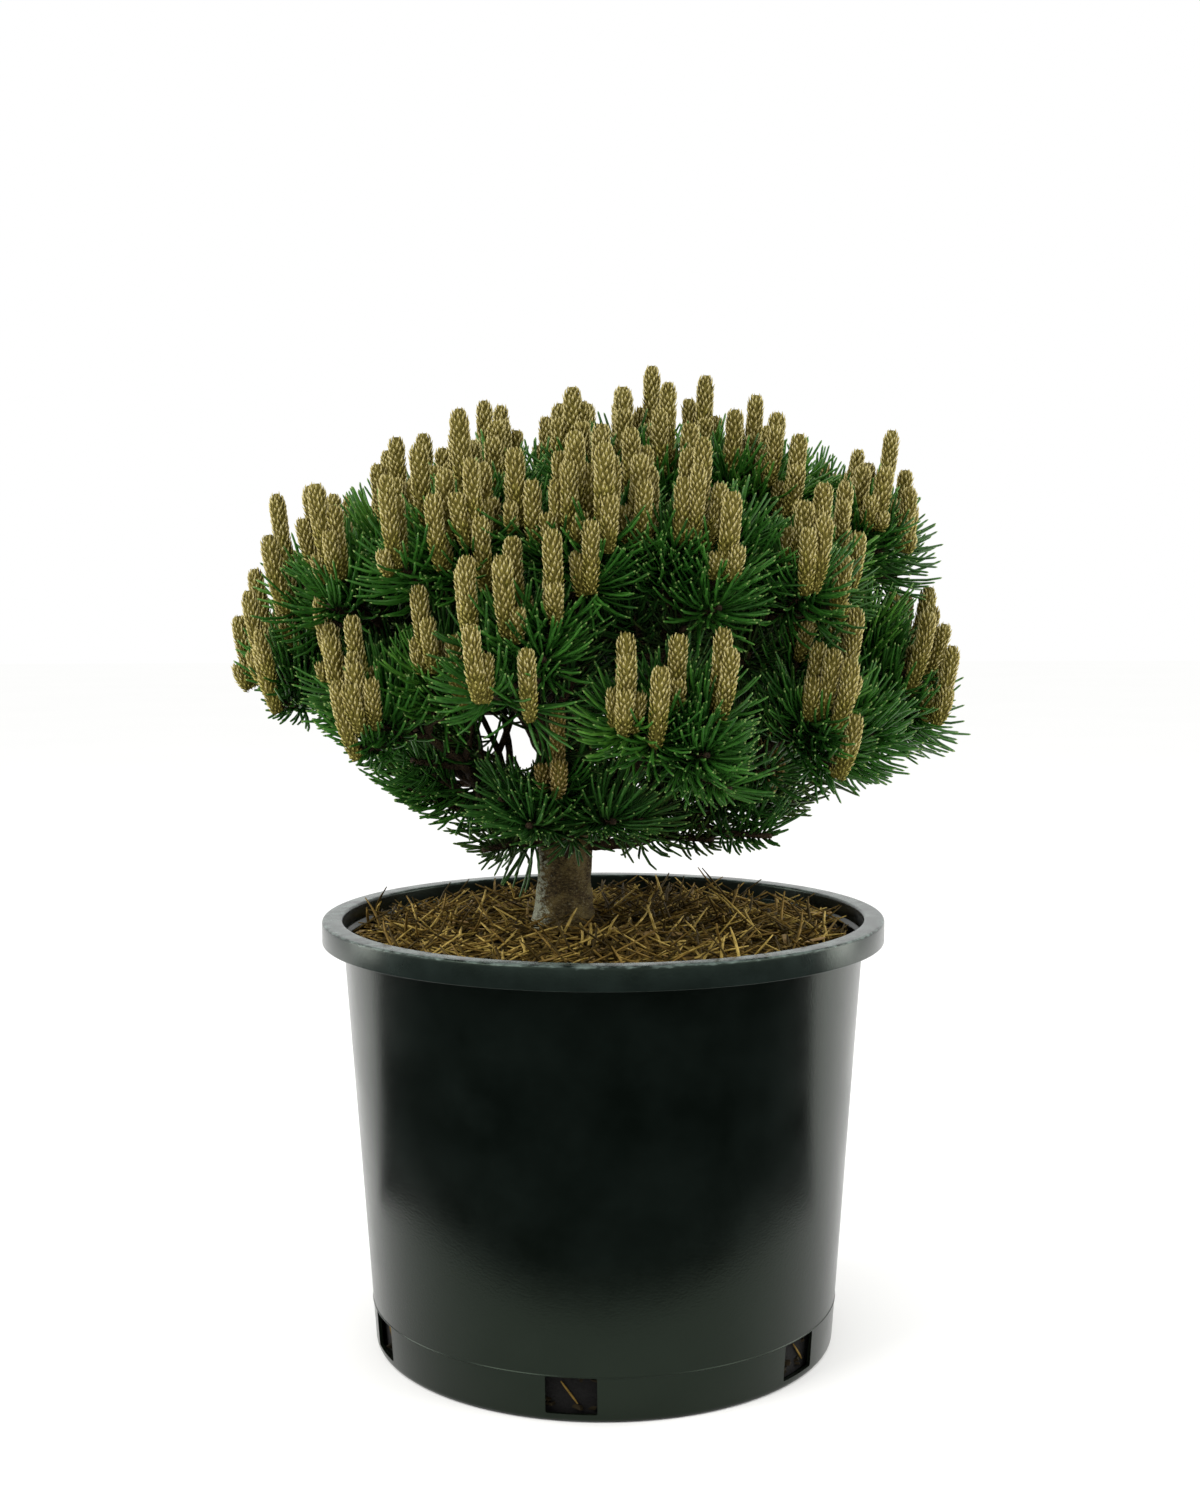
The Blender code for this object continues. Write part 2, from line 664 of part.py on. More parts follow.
def well_joined(item, growth):
    """True where the solid is one closed body, also once near corners meet, and holds every shoot."""
    shape = bmesh.new()
    shape.from_mesh(item.data)
    bmesh.ops.triangulate(shape, faces=shape.faces)
    whole = all(len(edge.link_faces) == 2 for edge in shape.edges)
    bmesh.ops.remove_doubles(shape, verts=shape.verts, dist=WELD)
    whole = whole and all(len(edge.link_faces) == 2 for edge in shape.edges)
    whole = whole and len(shells_of(shape)) == 1
    for shoot in growth.shoots:
        for point in shoot.points[1:]:
            whole = whole and min((vert.co - point).length for vert in shape.verts) < SHOOT_NEAR
    shape.free()
    return whole


def join_mass(name, growth, owner, space, rng, finish):
    """Joins a mass's needled twigs and candles into one solid by one union on a collection."""
    store = bpy.data.collections.new(name + "_pieces")
    bpy.context.scene.collection.children.link(store)
    for shoot in growth.shoots[1:]:
        link_part(needled_twig(space, owner, shoot.points, TWIG_RADII, rng), store)
    for shoot in growth.shoots:
        for candle in shoot.candles:
            link_part(candle_shape(candle), store)
    item = add_object(name, needled_twig(space, owner, growth.stem, STEM_RADII, rng), finish)
    union = item.modifiers.new("one solid", "BOOLEAN")
    union.operation = "UNION"
    union.operand_type = "COLLECTION"
    union.collection = store
    union.solver = "MANIFOLD"
    apply_modifiers(item)
    for piece in list(store.objects):
        bpy.data.objects.remove(piece, do_unlink=True)
    bpy.data.collections.remove(store)
    keep_main_shell(item)
    return item


def make_mass(growth, owner, space, finish):
    """Makes a mass, and again with its needles turned another way where two of them just graze."""
    name = "foliage_" + growth.mass.name
    for attempt in range(JOIN_ATTEMPTS):
        before = space.state()
        rng = random.Random(SEED * 7 + owner + attempt * 1000)
        item = join_mass(name, growth, owner, space, rng, finish)
        if well_joined(item, growth):
            return
        if attempt < JOIN_ATTEMPTS - 1:
            bpy.data.objects.remove(item, do_unlink=True)
            space.restore(before)


def make_limb(limb, mass, limbs, finish):
    """A limb whose root is cut to the face of what it leaves, with a gap left all round."""
    name = "bough_" + mass.name
    item = add_object(name, tube_shape(limb.points, limb.radii, LIMB_SIDES), finish, smooth_angle=60)
    if mass.root == "trunk":
        around = trunk_shape(GAP)
    else:
        parent = limbs[mass.root]
        around = tube_shape(parent.points, [radius + SIDE_LIMB_GAP for radius in parent.radii], LIMB_SIDES)
    cutter = add_object("cutter", around, None)
    cut = item.modifiers.new("seat", "BOOLEAN")
    cut.operation = "DIFFERENCE"
    cut.object = cutter
    apply_modifiers(item)
    bpy.data.objects.remove(cutter, do_unlink=True)
    keep_main_shell(item)


def settle_candles(growths, space):
    """Adds each candle to what is there, unless it would touch a limb or another mass."""
    for owner, growth in enumerate(growths):
        for shoot in growth.shoots:
            for candle in list(shoot.candles):
                line = [candle.foot.lerp(candle.tip, step / CHECK_STEPS) for step in range(CHECK_STEPS + 1)]
                if space.room(line, [candle.radius] * len(line), skip=owner) > LIMB_MARGIN:
                    space.add([candle.foot, candle.tip], [candle.radius] * 2, owner)
                else:
                    shoot.candles.remove(candle)


def main():
    clear_scene()
    bark = plain_material("pine_bark", (0.13, 0.095, 0.07), 0.85)
    needles = plain_material("pine_needles", (0.035, 0.10, 0.03), 0.55)
    make_pot(plain_material("black_polypropylene", (0.012, 0.016, 0.015), 0.35))
    make_potting_mix(plain_material("potting_mix", (0.10, 0.065, 0.035), 0.95))
    add_object("trunk", trunk_shape(0.0), bark, smooth_angle=60)
    limbs = grow_limbs()
    space = Space(limbs)
    growths = [grow_mass(owner, space) for owner in range(len(MASSES))]
    settle_candles(growths, space)
    for mass in MASSES:
        make_limb(limbs[mass.name], mass, limbs, bark)
    for owner, growth in enumerate(growths):
        make_mass(growth, owner, space, needles)


main()
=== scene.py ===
"""Mugo pine in its black nursery pot: the looks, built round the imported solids.

Metres, Z up. The crown grows by the same table and rule as the solids, carried on to finer twigs.
"""

import math
import random
from collections import namedtuple

import bmesh
import bpy
import numpy as np
from mathutils import Matrix, Vector, noise


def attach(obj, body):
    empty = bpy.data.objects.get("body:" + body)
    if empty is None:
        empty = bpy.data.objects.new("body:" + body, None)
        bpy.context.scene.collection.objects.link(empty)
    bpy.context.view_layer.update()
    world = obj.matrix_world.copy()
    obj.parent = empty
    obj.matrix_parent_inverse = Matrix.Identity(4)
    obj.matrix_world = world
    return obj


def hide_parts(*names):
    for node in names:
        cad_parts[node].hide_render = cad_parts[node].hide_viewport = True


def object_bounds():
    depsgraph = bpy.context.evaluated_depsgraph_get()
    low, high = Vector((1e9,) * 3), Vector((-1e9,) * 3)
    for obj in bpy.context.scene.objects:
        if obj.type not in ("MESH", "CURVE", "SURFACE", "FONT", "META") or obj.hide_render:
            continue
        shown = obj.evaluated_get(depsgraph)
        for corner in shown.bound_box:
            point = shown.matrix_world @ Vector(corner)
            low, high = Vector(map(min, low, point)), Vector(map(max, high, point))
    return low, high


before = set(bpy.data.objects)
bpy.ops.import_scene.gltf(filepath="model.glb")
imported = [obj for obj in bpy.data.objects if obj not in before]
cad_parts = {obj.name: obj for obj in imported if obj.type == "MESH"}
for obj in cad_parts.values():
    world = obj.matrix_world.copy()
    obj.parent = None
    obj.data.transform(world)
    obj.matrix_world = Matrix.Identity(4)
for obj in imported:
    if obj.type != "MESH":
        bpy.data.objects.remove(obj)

CAD_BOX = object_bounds()

# ---- Sizes that the solids share ----

POT_HEIGHT = 0.305
POT_FOOT_RADIUS = 0.165
POT_SHOULDER_RADIUS = 0.185
POT_COLLAR_RADIUS = 0.188
POT_RIM_RADIUS = 0.200
POT_RIM_DEPTH = 0.016
POT_WALL = 0.0025
POT_FLOOR = 0.0035
LEDGE_DROP = 0.0125
DRAIN_COUNT = 6
DRAIN_FIRST_ANGLE = -7.5
DRAIN_WIDTH = 0.034
DRAIN_LOW = 0.0055
DRAIN_HIGH = 0.0305
MIX_TOP = 0.290
MIX_EDGE_TOP = 0.284
MIX_FLAT_RADIUS = 0.095

GAP = 0.0003
TRUNK_FOOT = MIX_TOP + GAP
TRUNK_RINGS = (
    (TRUNK_FOOT, -0.0285, 0.0250),
    (0.2960, -0.0283, 0.0224),
    (0.3060, -0.0281, 0.0206),
    (0.3300, -0.0278, 0.0196),
    (0.3560, -0.0270, 0.0202),
    (0.3780, -0.0255, 0.0180),
    (0.4050, -0.0220, 0.0138),
    (0.4450, -0.0165, 0.0105),
    (0.4900, -0.0120, 0.0082),
    (0.5150, -0.0100, 0.0068),
)
ROOT_SPUR = 0.006
ROOT_SPUR_ANGLE = 200
ROOT_FLARE_WAVES = 5
ROOT_FLARE = 0.0022
ROOT_FLARE_HEIGHT = 0.022

CROWN_X = -0.010
STEM_LENGTH = 0.086
BEND_SHARE = 0.35
BEND_STEPS = 20
FORK_SHARES = (0.22, 0.34)
CROWN_CURVE = 0.22
GOLDEN = math.radians(137.508)
TRIES_PER_SHOOT = 4
SHOOT_SPREAD = (0.92, 1.05)
SHOOT_FLARE = 0.9
SHOOT_SPLAY = 5
SEED = 11
BOUGH_RADII = (0.0068, 0.0044)
SIDE_RADII = (0.0044, 0.0034)
LIMB_STEPS = 6
LIMB_SEAT = 0.004
LIMB_SWEEP = 0.36
LEAVE_OUTWARD = 0.25
LEAVE_ALONG = 0.35
TWIG_RADII = (0.0024, 0.0044, 0.0034)
STEM_RADII = (0.0048, 0.0048, 0.0036)
TWIG_LEAN = 0.42
CANDLE_LENGTH = 0.060
CANDLE_VARIES = (0.88, 1.12)
CANDLE_SINK = 0.006
CANDLE_LEAN = 0.22
CELL_SITE = 0.72
CELL_MARGIN = 0.0006
LIMB_MARGIN = 0.0012
LIMB_KEEP_OFF = 0.0016
CHECK_STEPS = 10
NEAR = 0.12
LIMB_OWNER = -1
LOWEST_NEEDLE = 0.312
UNDERSIDE_RISE = 0.42

Mass = namedtuple("Mass", "name angle reach height lift shoots spread turn candles pairs root root_at")
MASSES = (
    Mass("low_left", -50, 0.136, 0.414, 30, 3, 0.042, 200, 0, 0, "trunk", 0.352),
    Mass("low_front", -8, 0.152, 0.415, 22, 3, 0.046, 160, 1, 1, "trunk", 0.342),
    Mass("low_right", 58, 0.140, 0.409, 28, 3, 0.046, 20, 1, 0, "trunk", 0.353),
    Mass("low_back_right", 128, 0.160, 0.421, 22, 3, 0.046, 70, 1, 0, "trunk", 0.344),
    Mass("low_back_left", -140, 0.158, 0.418, 22, 3, 0.046, 300, 1, 1, "trunk", 0.348),
    Mass("mid_left", -77, 0.221, 0.500, 36, 4, 0.048, 150, 4, 2, "trunk", 0.368),
    Mass("mid_front_left", -43, 0.207, 0.478, 34, 4, 0.048, 100, 4, 2, "mid_left", 0.42),
    Mass("mid_front", -13, 0.211, 0.512, 38, 3, 0.046, 10, 3, 1, "trunk", 0.376),
    Mass("mid_front_right", 15, 0.206, 0.473, 34, 4, 0.047, 60, 3, 1, "trunk", 0.365),
    Mass("mid_right_front", 52, 0.205, 0.468, 34, 4, 0.046, 170, 3, 1, "mid_right", 0.40),
    Mass("mid_right", 80, 0.229, 0.482, 32, 4, 0.048, 30, 3, 1, "trunk", 0.374),
    Mass("mid_back_right", 118, 0.214, 0.478, 35, 4, 0.050, 95, 3, 1, "trunk", 0.366),
    Mass("mid_back", 156, 0.210, 0.486, 36, 4, 0.050, 200, 3, 1, "trunk", 0.378),
    Mass("mid_back_left", -163, 0.209, 0.476, 35, 4, 0.050, 320, 3, 1, "trunk", 0.364),
    Mass("mid_left_back", -115, 0.216, 0.484, 35, 4, 0.050, 20, 3, 1, "trunk", 0.380),
    Mass("high_left", -60, 0.198, 0.556, 48, 4, 0.046, 60, 4, 2, "mid_left", 0.62),
    Mass("high_front_left", -34, 0.180, 0.578, 52, 4, 0.046, 0, 4, 1, "mid_front", 0.45),
    Mass("high_front", -2, 0.177, 0.580, 52, 4, 0.045, 90, 4, 1, "mid_front", 0.66),
    Mass("high_front_right", 21, 0.188, 0.566, 50, 4, 0.044, 105, 3, 1, "mid_front_right", 0.55),
    Mass("high_right_front", 50, 0.191, 0.562, 50, 3, 0.044, 40, 3, 1, "mid_right", 0.60),
    Mass("high_right", 80, 0.202, 0.588, 52, 4, 0.046, 80, 4, 1, "mid_right", 0.80),
    Mass("high_back_right", 122, 0.189, 0.560, 50, 4, 0.050, 10, 3, 1, "mid_back_right", 0.55),
    Mass("high_back", 170, 0.188, 0.562, 50, 4, 0.050, 240, 4, 1, "mid_back", 0.55),
    Mass("high_left_back", -115, 0.190, 0.560, 50, 4, 0.050, 130, 3, 1, "mid_left_back", 0.55),
    Mass("top_left", -42, 0.124, 0.604, 70, 4, 0.050, 30, 4, 1, "trunk", 0.455),
    Mass("top_front", 14, 0.098, 0.624, 74, 4, 0.048, 75, 4, 2, "trunk", 0.505),
    Mass("top_right", 62, 0.124, 0.621, 68, 4, 0.042, 160, 3, 1, "trunk", 0.470),
    Mass("top_back", 165, 0.098, 0.622, 74, 4, 0.050, 0, 4, 1, "trunk", 0.490),
)
Limb = namedtuple("Limb", "points radii")
Shoot = namedtuple("Shoot", "points bearing")
Growth = namedtuple("Growth", "mass shoots")
FOLIAGE = ["foliage_" + mass.name for mass in MASSES]
BOUGHS = ["bough_" + mass.name for mass in MASSES]

# ---- Sizes that only the looks have ----

NEEDLE_LENGTH = 0.0425
NEEDLE_GIRTH = 0.00112
NEEDLE_RINGS = (0.0, 0.34, 0.70, 0.965, 1.0)
NEEDLE_TAPER = (0.80, 1.0, 0.95, 0.70, 0.20)
NEEDLE_LIFT = 0.50
SHOOT_NEEDLES = 88
SIDE_NEEDLES = 54
SIDE_NEEDLE_SHARE = 0.94
INNER_NEEDLES = 34
INNER_NEEDLE_SHARE = 0.95
INNER_SHOOTS = 4
REAR_INNER_SHOOTS = 6
HANGING_NEEDLES = 17
HANGING_NEEDLE_SHARE = 0.92
HANGING_LIFT = -0.8
CANDLE_STEP = 0.00033
MOST_TRIANGLES = 190000
CANDLE_CLEAR = 0.0006
CANDLE_GIRTH = 0.0051
COMPANION_GIRTH = 0.0049
CANDLE_OUTWARD = 2.8
SIDE_CANDLE_SHARE = 0.86
MOST_FILL_CANDLES = 3
CORE_SHARE = 0.93
THIN_RINGS = 9
SCALE_LENGTH = 0.0035
SCALE_WIDTH = 0.00098
EYE = (-0.0016, -1.3416, 0.5313)
# Circles that stay open in the crown, as EYE sees them at the pot's axis: side, height, radius.
OPENINGS = (
    (-0.067, 0.432, 0.016),
    (-0.081, 0.441, 0.012),
    (-0.056, 0.421, 0.010),
    (-0.037, 0.459, 0.006),
    (-0.028, 0.480, 0.004),
    (-0.098, 0.402, 0.010),
    (0.168, 0.652, 0.019),
    (0.172, 0.676, 0.018),
)
SPARSE = {"low_left": 0.6, "low_right": 0.75}
# Where the shoots that round off the back end, by the mass that bears them: angle, reach, height.
REAR_FILLS = {
    "mid_left_back": ((-96, 0.212, 0.486),),
    "mid_back_right": ((98, 0.214, 0.478), (103, 0.196, 0.514)),
    "high_left_back": (
        (-132, 0.184, 0.550),
        (-145, 0.192, 0.536),
        (-141, 0.152, 0.582),
        (-104, 0.146, 0.574),
        (-86, 0.180, 0.556),
    ),
    "high_back": ((-163, 0.188, 0.554), (-170, 0.156, 0.590), (-153, 0.166, 0.572)),
    "high_back_right": ((99, 0.190, 0.550), (104, 0.158, 0.578)),
    "top_left": ((-70, 0.030, 0.620), (-84, 0.112, 0.596), (-72, 0.072, 0.612)),
    "top_right": ((92, 0.122, 0.596), (108, 0.056, 0.616)),
    "top_back": (
        (-143, 0.116, 0.608),
        (-165, 0.124, 0.604),
        (-122, 0.114, 0.596),
        (-112, 0.078, 0.606),
        (118, 0.106, 0.606),
        (-150, 0.040, 0.616),
    ),
}
NEEDLE_LOOKS = {
    "fresh": ("young_needle", "#2b5f1b", "#568833", 0.42),
    "green": ("full_grown_needle", "#1f4d17", "#3b6f27", 0.42),
    "deep": ("shaded_needle", "#1c4518", "#346026", 0.42),
    "old": ("last_years_needle", "#1f3b19", "#3f5624", 0.55),
}
SCALE_LOOKS = {
    "tan": (("candle_scale_tan", "#776c32", "#988d4b"), ("candle_scale_tip", "#a2965f", "#c0b583")),
    "olive": (("candle_scale_green", "#565219", "#77702a"), ("candle_scale_green_tip", "#89803e", "#ada35f")),
    "rust": (("candle_scale_rust", "#5f5220", "#837036"), ("candle_scale_rust_tip", "#968553", "#b4a26e")),
}
HANGING = ((-0.056, -0.016, 0.356), (-0.068, -0.004, 0.362))
SIDE_REACH = (0.020, 0.029)
REAR_FROM = 85
REAR_REACH = 1.8
REAR_SIDE_SHOOTS = 4
LEFT_RISE_FROM = 0.10
LEFT_RISE = 0.45
MOULD_SEAM = 0.031
STRAW_EDGE = 0.1795
STRAW_GIRTH = 0.00105
STRAW_TAPER = (0.6, 1.0, 1.0, 0.9, 0.5)
Straw = namedtuple("Straw", "name count deep light")
STRAWS = (
    Straw("gold", 560, "#877132", "#c6ab5f"),
    Straw("tan", 900, "#5c491e", "#866c34"),
    Straw("brown", 1150, "#2a2009", "#4e3e17"),
)
# Each bed's shares are of the counts of the three straws, and its stand is in degrees.
Bed = namedtuple("Bed", "shares middle reach stand lift")
BEDS = (
    Bed((1.0, 1.0, 1.0), (0.0, 0.0), 0.176, 20, 0.008),
    Bed((0.03, 0.03, 0.18), (0.022, 0.012), 0.045, 24, 0.011),
    Bed((0.10, 0.10, 0.10), (0.0, 0.0), 0.172, 19, 0.006),
)
BITS_REACH = 0.176
STRAW_OFF_TRUNK = 0.0245
BITS_OFF_TRUNK = 0.032
Bits = namedtuple("Bits", "name count lift least most")
BEHIND_HOLES = None
BITS = (
    Bits("bark_bits", 420, 0.004, (0.004, 0.003, 0.0014), (0.011, 0.006, 0.0034)),
    # The bits behind the drain holes are bark bits painted nearly black: painted shade inside the pot.
    Bits("damp_bits", 42, BEHIND_HOLES, (0.004, 0.003, 0.0014), (0.010, 0.005, 0.0030)),
    Bits("wood_flakes", 150, 0.010, (0.012, 0.002, 0.0006), (0.036, 0.006, 0.0014)),
    Bits("green_specks", 16, 0.008, (0.003, 0.002, 0.0010), (0.006, 0.004, 0.0020)),
)
BIT_LOOKS = {
    "bark_bits": ("bark_bit", "#1a1208", "#443218"),
    # Painted shade: a darker copy of the bark bit, for the bits behind the holes.
    "damp_bits": ("damp_bark_bit", "#070503", "#17110a"),
    "wood_flakes": ("wood_flake", "#8a6b40", "#c6a871"),
    "green_specks": ("green_speck", "#1f5a3a", "#2f7a4c"),
}

CARD_OPENING = 0.311
CARD_STRETCH = 1.35
CARD_REACH = 3.0
CARD_HALF_ANGLE = 107
CARD_TURN = 9
CARD_LIFT = 0.0005
LENS_MM = 45.26
LENS_DIP = 0.0811
LENS_ROLL = 0.0027

PALE_LIGHT = (1.0, 0.985, 0.96)
LIGHTS = (
    ("high_left", (-1.5, -1.1, 1.9), (0, 0, 0.4), 1.2, 1.2, 26),
    ("high_right", (1.7, -0.7, 1.6), (0, 0, 0.4), 1.0, 1.2, 14),
    ("left_strip", (-1.6, 0.35, 0.5), (0, 0, 0.25), 0.5, 1.5, 12),
    ("right_strip", (1.6, 0.35, 0.5), (0, 0, 0.25), 0.5, 1.5, 12),
)
UP = Vector((0, 0, 1))


# ---- Finishes ----


def linear(code):
    """An sRGB hex colour as linear light."""
    parts = [int(code[index : index + 2], 16) / 255 for index in (1, 3, 5)]
    return [part / 12.92 if part <= 0.04045 else ((part + 0.055) / 1.055) ** 2.4 for part in parts] + [1.0]


class Finish:
    """A material in the making, whose patterns read the place on the object, in metres."""

    def __init__(self, name, roughness, ior):
        self.material = bpy.data.materials.new(name)
        self.material.use_nodes = True
        self.tree = self.material.node_tree
        self.place = self.node("TexCoord", "Object", {})
        self.skin({"Roughness": roughness, "IOR": ior})

    def feed(self, node, inputs):
        """Gives a node its values and links what feeds it."""
        for socket, value in inputs.items():
            if isinstance(value, bpy.types.NodeSocket):
                self.tree.links.new(value, node.inputs[socket])
            else:
                node.inputs[socket].default_value = value

    def node(self, kind, output, inputs, **settings):
        """Adds a node with its settings and inputs, and gives one of its outputs."""
        made = self.tree.nodes.new("ShaderNode" + kind)
        for name, value in settings.items():
            setattr(made, name, value)
        self.feed(made, inputs)
        return made.outputs[output]

    def skin(self, inputs):
        """Feeds the shader, and gives the material."""
        self.feed(self.tree.nodes["Principled BSDF"], inputs)
        return self.material

    def axis(self, name):
        """One coordinate of the place."""
        return self.node("SeparateXYZ", name, {"Vector": self.place})

    def squeezed(self, share):
        """The place for a pattern that is finer upwards than across."""
        return self.node("Mapping", "Vector", {"Vector": self.place, "Scale": (1.0, 1.0, share)})

    def patches(self, size, detail=3.0, rough=0.55, place=None):
        """Soft patches of about a real size in metres."""
        where = self.place if place is None else place
        inputs = {"Vector": where, "Scale": 1 / size, "Detail": detail, "Roughness": rough}
        return self.node("TexNoise", "Fac", inputs)

    def maths(self, operation, first, second):
        return self.node("Math", 0, {0: first, 1: second}, operation=operation)

    def spread(self, value, low, high, first=0.0, second=1.0):
        """Turns a value between low and high into a number between first and second."""
        inputs = {"Value": value, "From Min": low, "From Max": high, "To Min": first, "To Max": second}
        return self.node("MapRange", "Result", inputs, clamp=True)

    def blend(self, value, low, high, first, second):
        """Turns a value between low and high into a blend of two colours, each a hex code or an output."""
        first, second = [linear(end) if isinstance(end, str) else end for end in (first, second)]
        inputs = {"Factor": self.spread(value, low, high), 6: first, 7: second}
        return self.node("Mix", 2, inputs, data_type="RGBA")

    def bump(self, height, depth):
        """Bump of a real depth in metres."""
        return self.node("Bump", "Normal", {"Height": height, "Distance": depth, "Strength": 1.0})


def needle_finish(name, deep, light, roughness):
    """Living pine needle: a waxy green skin, a little lighter in some sprays than in others."""
    made = Finish(name, roughness, 1.46)
    both = made.maths("ADD", made.patches(0.030, 1.0), made.patches(0.004, 1.0))
    skin = {
        "Base Color": made.blend(both, 0.75, 1.3, deep, light),
        "Specular Tint": linear("#c8e6a4"),
        "Coat Weight": 0.25,
        "Coat Roughness": 0.28,
        "Coat Tint": linear("#e6f4d2"),
    }
    return made.skin(skin)


def paper_finish(name, deep, light, roughness=0.7):
    """Papery scale or dry straw: matt, with darker and lighter places along it.

    Its fibres are finer than the render shows, so they are drawn coarser, about 1 mm wide.
    """
    made = Finish(name, roughness, 1.35)
    skin = {
        "Base Color": made.blend(made.patches(0.006, 2.0), 0.35, 0.65, deep, light),
        "Specular Tint": linear("#f0dfb0"),
        "Normal": made.bump(made.patches(0.0012, 1.0), 0.0002),
    }
    return made.skin(skin)


def bark_finish(name, dark, mid, pale, moss, plate, pale_from):
    """Pine bark: small grey-brown flakes, darker in the cracks, with pale lichen on its left."""
    made = Finish(name, 0.9, 1.4)
    flat = made.squeezed(1.7)
    cells = {"Vector": flat, "Scale": 1 / plate, "Randomness": 1.0, "Detail": 1.0}
    cracks = made.node("TexVoronoi", "Distance", cells, feature="DISTANCE_TO_EDGE")
    flakes = made.patches(plate * 0.5, 6.0, 0.7, flat)
    base = made.blend(flakes, 0.40, 0.58, dark, mid)
    base = made.blend(made.patches(plate * 2.4), 0.45, 0.62, base, moss)
    base = made.blend(flakes, 0.56, 0.80, base, pale)
    lichen = made.patches(plate * 1.1, 8.0, 0.75, flat)
    lichen = made.maths("ADD", lichen, made.spread(made.axis("X"), -0.050, -0.030, 0.24, -0.14))
    base = made.blend(lichen, pale_from, pale_from + 0.07, base, pale)
    base = made.blend(cracks, -0.01, 0.04, dark, base)
    return made.skin({"Base Color": base, "Normal": made.bump(flakes, 0.0045)})


def pot_finish():
    """Moulded black polypropylene: satin, with a faint dusty bloom, scuffs and a mould texture, and painted
    light: a painted sheen on the rim and a painted highlight along its top edge.

    The texture is finer than the render shows, so it is drawn coarser, about 1.5 mm wide.
    """
    made = Finish("moulded_black_polypropylene", 0.24, 1.37)
    height = made.axis("Z")
    bloom = made.patches(0.05, 5.0, 0.6)
    dust = made.maths("MULTIPLY", made.spread(height, 0.0, 0.11, 0.45, 0.0), bloom)
    wall = made.blend(dust, 0.0, 0.5, made.blend(bloom, 0.35, 0.7, "#050907", "#0b110f"), "#0f120a")
    # Painted sheen: the rim band is painted lighter than the wall, standing in for the light that the rim
    # reflects.
    painted_rim_sheen = made.blend(bloom, 0.3, 0.7, "#0a0f0d", "#1a2220")
    colour = made.blend(height, 0.2885, 0.2895, wall, painted_rim_sheen)
    scuffs = made.patches(0.012, 8.0, 0.72, made.squeezed(3.0))
    # Scuffs are real wear; the pale ramp at the rim's top edge is a painted highlight along the rounded edge.
    scuffs_and_edge_highlight = made.maths("ADD", scuffs, made.spread(height, 0.3018, 0.3046, -0.2, 0.20))
    skin = {
        "Base Color": made.blend(scuffs_and_edge_highlight, 0.60, 0.80, colour, "#66736e"),
        "Roughness": made.spread(made.patches(0.05), 0.3, 0.7, 0.20, 0.27),
        "Specular Tint": linear("#c6e0c6"),
        "Normal": made.bump(made.patches(0.0016, 2.0), 0.00008),
    }
    return made.skin(skin)


def soil_finish():
    """Composted bark and peat: crumbly and quite matt, painted nearly black lower down as painted shade
    inside the pot.
    """
    made = Finish("composted_bark_mix", 0.95, 1.4)
    crumbs = made.patches(0.005, 6.0, 0.7)
    top = made.blend(crumbs, 0.35, 0.68, "#0a0704", "#33260f")
    # Painted shade: the mix goes nearly black lower down, where it shows only through the drain holes.
    painted_shade_low = made.blend(made.axis("Z"), 0.15, 0.27, "#040302", top)
    return made.skin({"Base Color": painted_shade_low, "Normal": made.bump(crumbs, 0.003)})


def studio_finish(name, ior, gloss, patches, deep, light):
    """Studio paper or velvet card: quite matt and plain."""
    made = Finish(name, 1.0, ior)
    colour = made.blend(made.patches(*patches), 0.3, 0.7, deep, light)
    return made.skin({"Base Color": colour, "Specular IOR Level": gloss})


# ---- Making meshes ----


def show_piece(item, slot, *nodes):
    """Hands a finished piece to the frame."""
    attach(item, "root")
    if nodes:
        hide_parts(*nodes)
    return item


def add_piece(name, mesh, finishes):
    item = bpy.data.objects.new(name, mesh)
    for finish in finishes:
        mesh.materials.append(finish)
    bpy.context.scene.collection.objects.link(item)
    return item


def piece_from_shape(name, shape, finish, smooth_angle=None):
    mesh = bpy.data.meshes.new(name)
    shape.to_mesh(mesh)
    shape.free()
    if smooth_angle is not None:
        mesh.shade_smooth()
        mesh.set_sharp_from_angle(angle=math.radians(smooth_angle))
    return add_piece(name, mesh, [finish])


def joined_piece(name, points, corners, marks, finishes):
    """One joined mesh of many small closed shapes, all of triangles."""
    mesh = bpy.data.meshes.new(name)
    mesh.vertices.add(len(points))
    mesh.vertices.foreach_set("co", points.astype(np.float32).ravel())
    mesh.loops.add(corners.size)
    mesh.loops.foreach_set("vertex_index", corners.astype(np.int32).ravel())
    mesh.polygons.add(len(corners))
    mesh.polygons.foreach_set("loop_start", np.arange(0, corners.size, 3, dtype=np.int32))
    mesh.update(calc_edges=True)
    mesh.shade_smooth()
    item = add_piece(name, mesh, finishes)
    mesh.polygons.foreach_set("material_index", marks.astype(np.int32))
    return item


def alike_pieces(name, shapes, corners, marks, finishes):
    """Joined meshes of shapes (count, points, 3) that share their corners, cut below the size limit."""
    parts = math.ceil(len(shapes) * len(corners) / MOST_TRIANGLES)
    made = []
    for number, share in enumerate(np.array_split(shapes, parts)):
        steps = np.arange(len(share))[:, None, None] * shapes.shape[1]
        label = f"{name}_{number + 1}" if parts > 1 else name
        faces = (corners[None] + steps).reshape(-1, 3)
        made.append(joined_piece(label, share.reshape(-1, 3), faces, np.tile(marks, len(share)), finishes))
    return made


def unit(vectors):
    return vectors / np.maximum(np.linalg.norm(vectors, axis=-1, keepdims=True), 1e-9)


def rows(points):
    """Points as rows of an array."""
    return np.array([tuple(point) for point in points])


